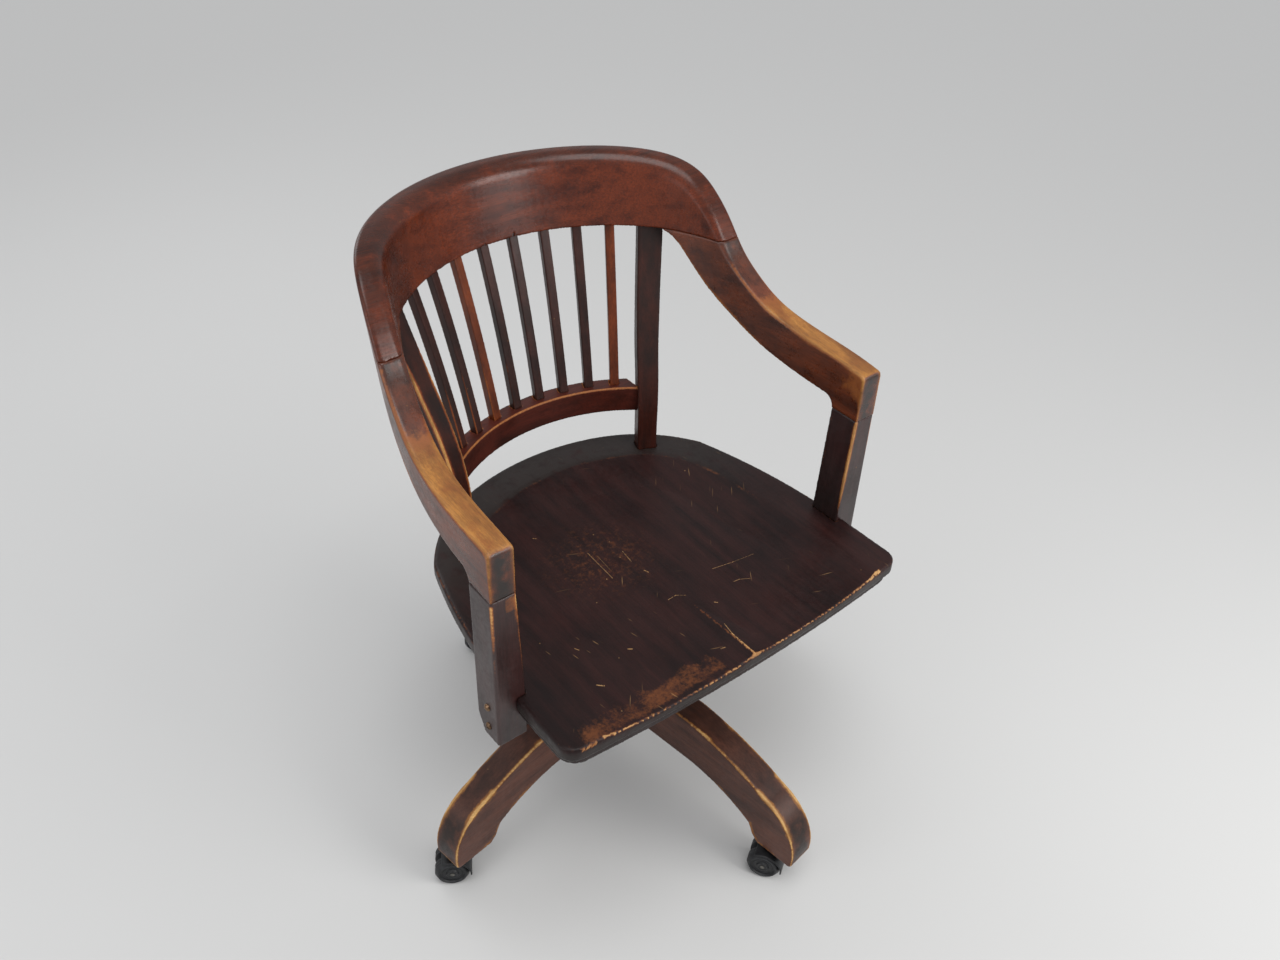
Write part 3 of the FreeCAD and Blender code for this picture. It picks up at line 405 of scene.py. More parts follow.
@cache
def grain_group() -> bpy.types.NodeTree:
    """Fibres, bands, pores and clouds of a piece of hardwood, with its length along X."""
    wires, given, leave = new_group(
        "wood_grain",
        {"Place": "Vector", "Dark": "Color", "Light": "Color", "Figure": "Float"},
        {"Colour": "Color", "Height": "Float"})
    place = given["Place"]
    fibre = wires.noise(wires.stretch(place, FIBRES), 1.0, 3.0, 0.6)
    ribbon = wires.noise(wires.stretch(place, RIBBONS), 1.0, 2.0)
    mottle = wires.noise(wires.stretch(place, MOTTLING), 1.0, 4.0, 0.65)
    cloud = wires.noise(place, 8.0, 2.0)
    tone = wires.sum(wires.times(ribbon, 0.42), wires.times(mottle, 0.24),
                     wires.times(cloud, 0.34))
    tone = wires.step(tone, 0.34, 0.64)
    base = wires.blend(tone, given["Dark"], given["Light"])
    streak = wires.times(wires.step(fibre, 0.62, 0.36), given["Figure"])
    base = wires.blend(wires.times(streak, 0.55), base, BLACK)
    pore = wires.noise(wires.stretch(place, PORES), 1.0, 1.0)
    pore = wires.step(pore, 0.62, 0.7)
    colour = wires.blend(wires.times(pore, wires.times(given["Figure"], 0.6)), base,
                         BLACK)
    height = wires.sum(wires.times(fibre, 0.5), wires.times(pore, -0.7))
    wires.fill(leave, {"Colour": colour, "Height": height})
    return wires.tree


@cache
def rub_group() -> bpy.types.NodeTree:
    """Where a finish is rubbed thin, and where it is rubbed through to bare wood."""
    wires, given, leave = new_group(
        "edge_rub",
        {"Place": "Vector", "Edge": "Float", "Placed": "Float", "Lines": "Float",
         "Ragged": "Float"},
        {"Thin": "Float", "Through": "Float"})
    place = given["Place"]
    fine = wires.noise(place, 260.0, 6.0, 0.72)
    broad = wires.noise(place, 30.0, 3.0, 0.6)
    ragged = wires.sum(wires.times(fine, 1.1), wires.times(broad, 1.5), -1.3)
    ragged = wires.times(ragged, given["Ragged"])
    score = wires.sum(wires.times(given["Edge"], given["Lines"]), given["Placed"])
    gate = wires.step(score, 0.02, 0.2)
    score = wires.sum(score, wires.times(ragged, gate))
    wires.fill(leave, {"Thin": wires.step(score, 0.3, 0.62),
                       "Through": wires.step(score, 0.6, 1.0)})
    return wires.tree


@cache
def nick_group() -> bpy.types.NodeTree:
    """Small light nicks all over, and thin scratches on what lies level."""
    wires, given, leave = new_group(
        "nicks_and_scratches",
        {"Place": "Vector", "Nicks": "Float", "Scratches": "Float"}, {"Mask": "Float"})
    place = given["Place"]
    dots = wires.add("TexVoronoi", {"Vector": place, "Scale": 42.0})
    gate = wires.step(wires.noise(place, 14.0, 2.0), 0.5, 0.62)
    dot = wires.times(wires.step(dots.outputs["Distance"], 0.05, 0.02), gate)
    mask = wires.times(dot, given["Nicks"])
    wobble = wires.add("TexNoise", {"Vector": place, "Scale": 9.0, "Detail": 1.0})
    bent = wires.add("VectorMath", {0: wobble.outputs["Color"], 1: (0.012, 0.012, 0.0),
                                    2: place}, operation="MULTIPLY_ADD").outputs[0]
    for turn, length, width, edge in SCRATCH_WAYS:
        turned = wires.add("Mapping", {"Vector": bent,
                                       "Rotation": (0.0, 0.0, math.radians(turn))},
                           vector_type="POINT").outputs[0]
        cells = wires.add("TexVoronoi", {
            "Vector": wires.stretch(turned, (length, width, 3.0)), "Scale": 1.0})
        line = wires.step(cells.outputs["Distance"], edge, edge * 0.4)
        some = wires.step(wires.noise(place, 4.0 + length, 1.0), 0.48, 0.66)
        mask = wires.sum(mask, wires.times(wires.times(line, some), given["Scratches"]))
    wires.feed(leave.inputs["Mask"], mask)
    return wires.tree


@cache
def stroke_group() -> bpy.types.NodeTree:
    """One scratch between two ends, broken up along its length."""
    wires, given, leave = new_group(
        "scratch_stroke",
        {"Place": "Vector", "From": "Vector", "To": "Vector", "Width": "Float"},
        {"Mask": "Float"})

    def math_of(kind: str, one: object, other: object, result: str) -> object:
        """Adds one vector operation."""
        return wires.add("VectorMath", {0: one, 1: other}, operation=kind).outputs[result]

    flat = math_of("MULTIPLY", math_of("SUBTRACT", given["Place"], given["From"], 0),
                   (1.0, 1.0, 0.0), 0)
    span = math_of("SUBTRACT", given["To"], given["From"], 0)
    share = wires.add("Math", {0: math_of("DOT_PRODUCT", flat, span, 1),
                               1: math_of("DOT_PRODUCT", span, span, 1)},
                      operation="DIVIDE", use_clamp=True).outputs[0]
    nearest = wires.add("VectorMath", {0: span, "Scale": share}, operation="SCALE")
    away = math_of("DISTANCE", flat, nearest.outputs[0], 1)
    half = wires.times(given["Width"], 0.5)
    line = wires.step(away, half, wires.times(half, 0.4))
    torn = wires.step(wires.noise(given["Place"], 420.0, 3.0), 0.3, 0.55)
    wires.feed(leave.inputs["Mask"], wires.times(line, torn))
    return wires.tree


@cache
def sheen_group() -> bpy.types.NodeTree:
    """Roughness of an old shine: smudged, duller where it is rubbed."""
    wires, given, leave = new_group(
        "old_shine",
        {"Place": "Vector", "Glossy": "Float", "Dull": "Float", "Rubbed": "Float"},
        {"Roughness": "Float"})
    smudge = wires.sum(wires.times(wires.noise(given["Place"], 17.0, 4.0, 0.6), 0.6),
                       wires.times(wires.noise(given["Place"], 160.0, 3.0), 0.4))
    spread = wires.sum(given["Dull"], wires.times(given["Glossy"], -1.0))
    rough = wires.sum(given["Glossy"],
                      wires.times(wires.step(smudge, 0.36, 0.64), spread),
                      wires.times(given["Rubbed"], 0.14))
    wires.feed(leave.inputs["Roughness"], rough)
    return wires.tree


@dataclass(frozen=True)
class Stroke:
    """One scratch or fleck on a level surface, with its ends in millimetres."""

    start: tuple[float, float, float]
    end: tuple[float, float, float]
    wide: float
    strength: float


def scratched(*ends: tuple[float, float, float, float, float, float]
              ) -> tuple[Stroke, ...]:
    """Turns rows of x, y, x, y, width and strength into scratches of the seat."""
    return tuple(Stroke((a, b, SCRATCH_LEVEL), (c, d, SCRATCH_LEVEL), wide, strength)
                 for a, b, c, d, wide, strength in ends)


SEAT_SCRATCHES = scratched(
    (64.0, -99.0, 96.0, -105.5, 0.9, 0.8), (94.0, -105.0, 128.0, -110.0, 0.6, 0.6),
    (68.0, -134.0, 79.0, -135.5, 1.1, 0.8), (79.0, -135.5, 92.0, -143.0, 0.8, 0.7),
    (-21.0, -109.0, -8.0, -108.5, 1.2, 0.8), (-8.0, -108.5, 2.0, -116.0, 0.9, 0.8),
    (-51.0, 25.0, -54.0, -34.0, 1.6, 0.6), (-44.0, 12.0, -47.0, -22.0, 0.8, 0.5),
    (-11.0, 0.0, -14.0, -23.0, 1.5, 0.6), (7.0, -186.0, 2.0, -206.0, 1.6, 0.8),
    (2.0, -206.0, 0.0, -250.0, 2.2, 1.0), (-116.0, -146.0, -112.0, -149.0, 2.0, 1.0),
    (-183.0, -171.0, -176.0, -176.0, 2.4, 1.0), (-24.0, -215.0, -19.0, -217.0, 2.0, 0.9),
    (-11.0, -47.0, -9.0, -53.0, 2.0, 0.8), (24.0, -148.0, 27.0, -151.0, 1.8, 0.9),
    (-93.0, 93.0, -90.0, 90.0, 1.6, 0.8), (-169.0, -107.0, -166.0, -112.0, 1.6, 0.8))


@dataclass(frozen=True)
class WoodFinish:
    """A stained and shellacked hardwood with the wear of a long life."""

    name: str
    dark: str
    light: str
    thin: str
    bare_dark: str = "7A4A22"
    bare_light: str = "C98E4C"
    # Colour blended in by the grime mask: painted shade on the crest, arms and front posts, a
    # painted grey reflection on the seat's rear rim, and dirt on the legs' noses
    grime: str = "17120F"
    grain: Grain = Grain.ACROSS
    figure: float = 0.5
    lines: float = 0.5
    ragged: float = 0.35
    glossy: float = 0.3
    dull: float = 0.48
    nicks: float = 0.5
    scratches: float = 0.0
    specular: float = 0.32
    strokes: tuple[Stroke, ...] = ()

    def material(self) -> bpy.types.Material:
        """Builds the finish's material once."""
        return wood_material(self)


def fresh_material(name: str) -> tuple[bpy.types.Material, Wiring, bpy.types.Node]:
    """Starts a material with one Principled shader.

    Returns:
        The material, the wiring of its tree, and the shader node.
    """
    material = bpy.data.materials.new(name)
    material.use_nodes = True
    tree = material.node_tree
    shader = tree.nodes["Principled BSDF"]
    return material, Wiring(tree), shader


@cache
def wood_material(finish: WoodFinish) -> bpy.types.Material:
    """Material of a wood finish."""
    material, wires, shader = fresh_material(finish.name)
    place = wires.add("Mapping", {"Vector": wires.object_place(),
                                  "Rotation": finish.grain.value},
                      vector_type="POINT").outputs[0]
    stained = wires.group(grain_group(), {
        "Place": place, "Dark": tint(finish.dark), "Light": tint(finish.light),
        "Figure": finish.figure})
    bare = wires.group(grain_group(), {
        "Place": place, "Dark": tint(finish.bare_dark), "Light": tint(finish.bare_light),
        "Figure": 0.45})
    rub = wires.group(rub_group(), {
        "Place": place, "Edge": wires.attribute("edge"),
        "Placed": wires.attribute("placed"), "Lines": finish.lines,
        "Ragged": finish.ragged})
    level = wires.object_place()
    nick = wires.group(nick_group(), {"Place": level, "Nicks": finish.nicks,
                                      "Scratches": finish.scratches})
    colour = wires.blend(wires.times(rub.outputs["Thin"], THIN_SHARE),
                         stained.outputs["Colour"], tint(finish.thin))
    colour = wires.blend(rub.outputs["Through"], colour, bare.outputs["Colour"])
    marks = wires.sum(nick.outputs["Mask"], *[
        wires.times(wires.group(stroke_group(), {
            "Place": level, "From": tuple(v * MM for v in stroke.start),
            "To": tuple(v * MM for v in stroke.end), "Width": stroke.wide * MM,
        }).outputs["Mask"], stroke.strength) for stroke in finish.strokes])
    colour = wires.blend(wires.times(marks, MARK_SHARE), colour, tint(finish.bare_light))
    haze = wires.times(wires.attribute("rubbed"),
                       wires.step(wires.noise(level, 120.0, 5.0, 0.75), 0.48, 0.72))
    colour = wires.blend(wires.times(haze, MARK_SHARE), colour, tint(finish.thin))
    # Blends towards the grime colour: real dirt on some pieces, painted shade and a painted
    # reflection on others
    grime_light_share = wires.times(wires.attribute("grime"),
                       wires.step(wires.noise(level, 60.0, 4.0), 0.2, 0.55))
    colour = wires.blend(grime_light_share, colour, tint(finish.grime))
    sheen = wires.group(sheen_group(), {"Place": level, "Glossy": finish.glossy,
                                        "Dull": finish.dull,
                                        "Rubbed": rub.outputs["Thin"]})
    height = wires.sum(stained.outputs["Height"], wires.times(rub.outputs["Thin"], -0.4),
                       wires.times(nick.outputs["Mask"], -0.8))
    bump = wires.add("Bump", {"Height": height, "Strength": WOOD_BUMP,
                              "Distance": WOOD_DEPTH * MM})
    wires.fill(shader, {"Base Color": colour, "Roughness": sheen.outputs["Roughness"],
                        "Normal": bump.outputs["Normal"],
                        "Specular IOR Level": finish.specular})
    return material


@dataclass(frozen=True)
class HardFinish:
    """A metal, rubber or moulded finish with fine unevenness and dust."""

    name: str
    dark: str
    light: str
    rough: float
    metallic: float = 0.0
    pitted: float = 0.3
    scale: float = 300.0
    specular: float = 0.5
    worn: str = "6F6A63"
    rub: float = 0.0

    def material(self) -> bpy.types.Material:
        """Builds the finish's material once."""
        return hard_material(self)


@cache
def hard_material(finish: HardFinish) -> bpy.types.Material:
    """Material of a metal, rubber or moulded finish."""
    material, wires, shader = fresh_material(finish.name)
    place = wires.object_place()
    fine = wires.noise(place, finish.scale * 4.0, 3.0)
    broad = wires.noise(place, finish.scale * 0.25, 4.0, 0.65)
    colour = wires.blend(wires.step(broad, 0.36, 0.64), tint(finish.dark),
                         tint(finish.light))
    chipped = wires.group(rub_group(), {
        "Place": place, "Edge": wires.attribute("edge"), "Placed": 0.0,
        "Lines": finish.rub, "Ragged": 0.4})
    colour = wires.blend(chipped.outputs["Thin"], colour, tint(finish.worn))
    rough = wires.group(sheen_group(), {"Place": place, "Glossy": finish.rough - 0.06,
                                        "Dull": finish.rough + 0.1, "Rubbed": 0.0})
    bump = wires.add("Bump", {"Height": wires.sum(fine, wires.times(broad, 0.6)),
                              "Strength": finish.pitted, "Distance": HARD_DEPTH * MM})
    wires.fill(shader, {"Base Color": colour, "Roughness": rough.outputs["Roughness"],
                        "Normal": bump.outputs["Normal"], "Metallic": finish.metallic,
                        "Specular IOR Level": finish.specular})
    return material


# The crest's grime colour is painted shade on its top and back faces, and also darkens it
# towards the left end
CREST_FINISH = WoodFinish("crest_shellac", "44180B", "78341A", "8C4A24", lines=0.35,
                          grime="2B160D", glossy=0.2, dull=0.34, figure=0.75,
                          specular=0.42)
# The arms' grime colour is painted shade on their front ends, and also darkens their tops
# towards the back
ARM_FINISH = WoodFinish("arm_shellac", "3E1C10", "7A3B1F", "96541F", lines=0.7,
                        grain=Grain.FORWARD, bare_dark="784413", bare_light="C4853A",
                        ragged=0.5, glossy=0.25, dull=0.4, figure=0.6, specular=0.62)
POST_FINISH = WoodFinish("front_post_shellac", "22110F", "3C211F", "96541F", lines=0.75,
                         bare_dark="9A602A", bare_light="E0A862", grain=Grain.UPRIGHT,
                         glossy=0.32, dull=0.48, specular=0.62)
BACK_POST_FINISH = WoodFinish("back_post_shellac", "22100C", "431C12", "8E4620",
                              bare_light="DDA35E", lines=0.7, grain=Grain.UPRIGHT,
                              glossy=0.32, dull=0.48)
DARK_SLAT = WoodFinish("dark_slat_shellac", "22100C", "42211A", "874521", lines=0.8,
                       grain=Grain.UPRIGHT, glossy=0.3, dull=0.46)
RED_SLAT = replace(DARK_SLAT, name="red_slat_shellac", dark="4A1D0B", light="7E3A18",
                   thin="9A5527")
RAIL_FINISH = WoodFinish("rail_shellac", "2A120C", "56241A", "9A5A2E", lines=0.75,
                         glossy=0.3, dull=0.46)
# The seat's grime colour is the grey of a painted reflection on the rear rim, and is also laid
# on the lower side walls
SEAT_FINISH = WoodFinish("seat_shellac", "190C0C", "301816", "6A3C20", lines=0.7,
                         grain=Grain.FORWARD, bare_dark="8E5A2E", bare_light="D2A46C",
                         grime="2A2422", ragged=0.62, figure=0.4, glossy=0.34, dull=0.52,
                         nicks=0.9, scratches=0.5, specular=0.26, strokes=SEAT_SCRATCHES)
FRAME_FINISH = WoodFinish("seat_frame_stain", "1E1515", "332625", "6B4022", lines=0.35,
                          glossy=0.42, dull=0.6)
LEG_FINISH = WoodFinish("leg_shellac", "3A2018", "613A2C", "94602C", lines=0.7,
                        bare_dark="966430", bare_light="DDAF6E", ragged=0.75,
                        grime="1D1613", grain=Grain.LEG_SIDEWAYS, glossy=0.32, dull=0.48)
LONG_LEG_FINISH = replace(LEG_FINISH, name="long_leg_shellac", grain=Grain.LEG_FORWARD)
HUB_FINISH = WoodFinish("hub_shellac", "341D15", "543226", "7A4A28", lines=0.4,
                        grain=Grain.UPRIGHT, glossy=0.38, dull=0.55)
BRONZED = HardFinish("bronzed_screw", "4A3A2E", "8A6E55", 0.27, metallic=0.9,
                     pitted=0.15)
IRON = HardFinish("black_iron", "1B1B1C", "2C2B2B", 0.5, metallic=0.2, pitted=0.45,
                  rub=0.5)
STEEL = HardFinish("oiled_steel", "5D5B57", "86837C", 0.34, metallic=0.9, pitted=0.12)
SPRING = HardFinish("spring_steel", "3C3A37", "5E5B55", 0.36, metallic=0.9, pitted=0.12)
RUBBER = HardFinish("stop_rubber", "151515", "222222", 0.75, pitted=0.5, specular=0.3)
MOULDED = HardFinish("castor_moulding", "141517", "202124", 0.42, pitted=0.25,
                     specular=0.4)
TYRE = HardFinish("castor_tyre", "191A1C", "2B2C2F", 0.5, pitted=0.3, specular=0.4)


def dress(piece: bpy.types.Object, finish: WoodFinish | HardFinish) -> None:
    """Gives a piece one finish all over."""
    piece.data.materials.clear()
    piece.data.materials.append(finish.material())


def dress_nodes(finish: HardFinish | WoodFinish, *nodes: str) -> None:
    """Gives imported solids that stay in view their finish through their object's slots."""
    for node in nodes:
        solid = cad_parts[node]
        for slot in solid.material_slots:
            slot.link = "OBJECT"
            slot.material = finish.material()
        log.info("%s keeps its solid, finished as %s", node, finish.name)


# Wooden pieces.  In the functions of wear, places and distances are in millimetres in the
# part's own frame, and every mask runs from 0 to 1.

Masks = dict[str, np.ndarray]
Wear = Callable[[Surface, Masks], Masks]


def plain_wear(surface: Surface, masks: Masks) -> Masks:
    """Wear that comes from the edges alone."""
    return {}


@dataclass
class Arrises:
    """Distance from any point to the sharp outer edges of a solid."""

    solid: bpy.types.Object
    joints: tuple[float, ...] = ()
    sharp: float = 32.0
    pitch: float = 1.0

    def __post_init__(self) -> None:
        """Puts points along every sharp edge that isn't part of a glued joint."""
        shape = bmesh.new()
        shape.from_mesh(self.solid.data)
        spots: list[Vector] = []
        for edge in shape.edges:
            if len(edge.link_faces) != 2 or not edge.is_convex:
                continue
            if edge.calc_face_angle(0.0) < math.radians(self.sharp):
                continue
            one, other = (vert.co.copy() for vert in edge.verts)
            if self.in_joint(one.z) and self.in_joint(other.z):
                continue
            steps = max(1, int((other - one).length / (self.pitch * MM)))
            spots += [one.lerp(other, step / steps) for step in range(steps + 1)]
        shape.free()
        self.tree = kdtree.KDTree(max(len(spots), 1))
        for index, spot in enumerate(spots or [NOWHERE]):
            self.tree.insert(spot, index)
        self.tree.balance()

    def in_joint(self, height: float) -> bool:
        """Says whether a height in metres lies in the plane of a glued joint."""
        return any(abs(height - joint * MM) < GLUED_REACH * MM for joint in self.joints)

    def distance(self, place: np.ndarray) -> np.ndarray:
        """Distances in millimetres from an array of points."""
        return np.array([self.tree.find(point)[2] for point in place]) / MM


@dataclass
class EasedPiece:
    """One part with the solid's form, eased edges and its wear painted on."""

    node: str
    slot: str
    finish: WoodFinish | HardFinish
    body: str = "seat"
    grid: float = 1.85
    fine: float = 0.9
    easing: int = 7
    line: float = 3.0
    sharp: float = 32.0
    proud: float = 0.0
    joints: tuple[float, ...] = ()
    wear: Wear = plain_wear

    def build(self) -> bpy.types.Object:
        """Makes the piece and fixes it in place."""
        solid = merged_copy(self.node, self.node + "_solid")
        piece = merged_copy(self.node, self.node + "_eased")
        self.remesh(piece, self.fine)
        self.ease(piece)
        form = new_object(self.node + "_form", piece.data.copy())
        move_mesh(piece, ASKEW)
        self.remesh(piece, self.grid)
        move_mesh(piece, ASKEW.inverted())
        finish_with(piece, "SMOOTH", factor=0.4, iterations=1)
        finish_with(piece, "SHRINKWRAP", target=form, wrap_method="NEAREST_SURFACEPOINT")
        shade_round(piece, 180.0)
        self.paint(piece, Arrises(solid, self.joints, self.sharp))
        self.swell(piece)
        for helper in (solid, form):
            bpy.data.objects.remove(helper)
        dress(piece, self.finish)
        return mount(piece, self.body, self.slot, self.node)

    def remesh(self, piece: bpy.types.Object, size: float) -> None:
        """Gives a piece an even new skin of faces about one size in millimetres."""
        coarser = 1.0
        finish_with(piece, "REMESH", mode="VOXEL", voxel_size=size * MM * coarser,
                    adaptivity=0.0)

    def ease(self, piece: bpy.types.Object) -> None:
        """Rounds every edge by hand-rubbed amounts, and the glued joints less."""
        group = piece.vertex_groups.new(name="eased")
        count = len(piece.data.vertices)
        group.add(list(range(count)), 1.0, "REPLACE")
        if self.joints:
            tight = [point.index for point in piece.data.vertices
                     if any(abs(point.co.z - joint * MM) < TIGHT_REACH * MM
                            for joint in self.joints)]
            group.add(tight, TIGHT_SHARE, "REPLACE")
        finish_with(piece, "SMOOTH", factor=0.5, iterations=self.easing,
                    vertex_group="eased")
        piece.vertex_groups.clear()

    def swell(self, piece: bpy.types.Object) -> None:
        """Brings the outer side walls forward where the photograph shows them prouder."""
        if not self.proud:
            return
        surface = Surface(piece)
        level = surface.facing[:, :2]
        outward = (level * surface.place[:, :2]).sum(1) > 0.0
        share = outward * ramp(np.hypot(level[:, 0], level[:, 1]), 0.5, 0.9)
        moved = surface.place.copy()
        moved[:, :2] += level * (share * self.proud * MM)[:, None]
        piece.data.vertices.foreach_set("co", moved.ravel().astype(np.float32))
        piece.data.update()

    def paint(self, piece: bpy.types.Object, arrises: Arrises) -> None:
        """Stores the masks of wear, grime and painted light on the mesh."""
        surface = Surface(piece)
        height = surface.axes()[2]
        away = arrises.distance(surface.place)
        round_edge = surface.spread(
            np.clip(surface.bend / FULL_BEND - FLAT_SHARE, 0.0, 1.0), 2)
        for joint in self.joints:
            round_edge *= ramp(np.abs(height - joint), 2.0, 7.0)
        masks = {"edge": np.maximum(ramp(away, self.line, EDGE_CORE), round_edge),
                 "wide": np.maximum(ramp(away, WIDE_REACH, 1.0),
                                    surface.spread(round_edge, 6)),
                 "placed": np.zeros(len(away)), "grime": np.zeros(len(away))}
        masks.update(self.wear(surface, masks))
        masks.pop("wide")
        for name, values in masks.items():
            surface.store(name, values)


@dataclass
class Bow:
    """The bent crest rail and both arms."""

    worn_back: float = 45.0

    def build(self) -> None:
        """Makes the crest rail and the arms."""
        EasedPiece("crest_rail", "back_wood", CREST_FINISH, wear=self.crest_wear,
                   joints=(CREST_JOINT,)).build()
        for side in ("left", "right"):
            EasedPiece(f"arm_{side}", "arm_wood", ARM_FINISH, wear=self.arm_wear,
                       joints=(CREST_JOINT, ARM_JOINT)).build()

    def crest_wear(self, surface: Surface, masks: Masks) -> Masks:
        """Painted shade on the top and back faces, darker towards the left end, and a little
        wear on the lower corners.
        """
        x, y, _ = surface.axes()
        # Painted shade: upward faces and the back face are darkened by their facing; the left
        # end darkens by its place
        upward = ramp(surface.facing[:, 2], 0.25, 0.8)
        left = ramp(x, -60.0, -230.0)
        dusk = np.maximum(0.55 * upward, 0.35 * left)
        outward = ramp(y, 120.0, 330.0) * ramp(surface.facing[:, 1], 0.2, 0.9)
        return {"edge": 0.5 * masks["edge"],
                "placed": 0.3 * masks["wide"] * ramp(np.abs(x), 230.0, 285.0),
                "grime": np.maximum(dusk, 0.5 * outward)}

    def arm_wear(self, surface: Surface, masks: Masks) -> Masks:
        """Bare golden tops, speckled front corners, painted shade on the front ends and a
        darker top towards the back.
        """
        x, y, z = surface.axes()
        edge, wide = masks["edge"], masks["wide"]
        upward = ramp(surface.facing[:, 2], 0.4, 0.8)
        outward = surface.facing[:, 0] * np.sign(x)
        forward = ramp(surface.facing[:, 1], -0.55, -0.95)
        inner = ramp(outward, -0.4, -0.85)
        top = upward * ramp(y, self.worn_back + 45.0, self.worn_back - 30.0)
        corner = inner * ramp(y, -60.0, -128.0) * ramp(z, 588.0, 640.0)
        below_top = inner * ramp(z, 650.0, 668.0) * ramp(y, 70.0, -40.0)
        climb = ramp(z, 600.0, 655.0) * ramp(y, 260.0, 60.0)
        line = np.maximum(edge, 0.55 * wide) * climb
        front_edge = np.maximum(edge, 0.5 * wide) * ramp(y, -118.0, -130.0)
        placed = np.maximum.reduce([0.92 * top, 0.62 * corner, 0.5 * below_top, line])
        placed = np.maximum(placed * (1.0 - forward), 0.9 * front_edge)
        low = ramp(z, 640.0, 600.0) * (1.0 - forward)
        # Painted shade on the front-facing ends, kept off their worn edges; the top also
        # darkens towards the back
        return {"edge": edge * (0.25 + 0.75 * climb),
                "placed": placed * (1.0 - 0.5 * low),
                "grime": 0.95 * forward * (1.0 - 0.9 * np.maximum(edge, 0.6 * wide))
                + 0.3 * upward * ramp(y, 60.0, 150.0)}


@dataclass
class Backrest:
    """Two back posts, the lower rail and eight slats between them."""

    slats: tuple[WoodFinish, ...] = (DARK_SLAT, DARK_SLAT, RED_SLAT, DARK_SLAT, DARK_SLAT,
                                     DARK_SLAT, DARK_SLAT, RED_SLAT)

    def build(self) -> None:
        """Makes the posts, the rail and the slats."""
        for side in ("left", "right"):
            EasedPiece(f"back_post_{side}", "back_wood", BACK_POST_FINISH, easing=5,
                       wear=self.post_wear).build()
        EasedPiece("lower_back_rail", "back_wood", RAIL_FINISH, easing=5,
                   wear=self.rail_wear).build()
        for number, finish in enumerate(self.slats, start=1):
            EasedPiece(f"back_slat_{number}", "back_wood", finish, grid=1.2, fine=0.7,
                       easing=4, line=1.6, wear=self.slat_wear).build()

    def post_wear(self, surface: Surface, masks: Masks) -> Masks:
        """Golden front edges on the left post beside the rail, and hardly any elsewhere."""
        x, _, z = surface.axes()
        near_rail = band(z, 440.0, 640.0, 90.0) * ramp(x, 40.0, -40.0)
        forward = ramp(surface.facing[:, 1], 0.4, -0.2)
        return {"edge": masks["edge"] * (0.3 + 0.9 * near_rail * forward),
                "placed": 0.55 * masks["wide"] * near_rail * forward}

    def rail_wear(self, surface: Surface, masks: Masks) -> Masks:
        """A thin worn line along the top front edge."""
        inward = ramp(surface.facing[:, 1], 0.3, -0.2)
        top = ramp(surface.axes()[2], 520.0, 524.0)
        return {"edge": masks["edge"] * (0.25 + 1.1 * inward * top)}

    def slat_wear(self, surface: Surface, masks: Masks) -> Masks:
        """Rubbed edges low on the slats of the left half."""
        x, _, z = surface.axes()
        low = ramp(z, 660.0, 560.0) * ramp(x, 60.0, -120.0)
        return {"edge": masks["edge"] * (0.2 + 0.7 * low)}


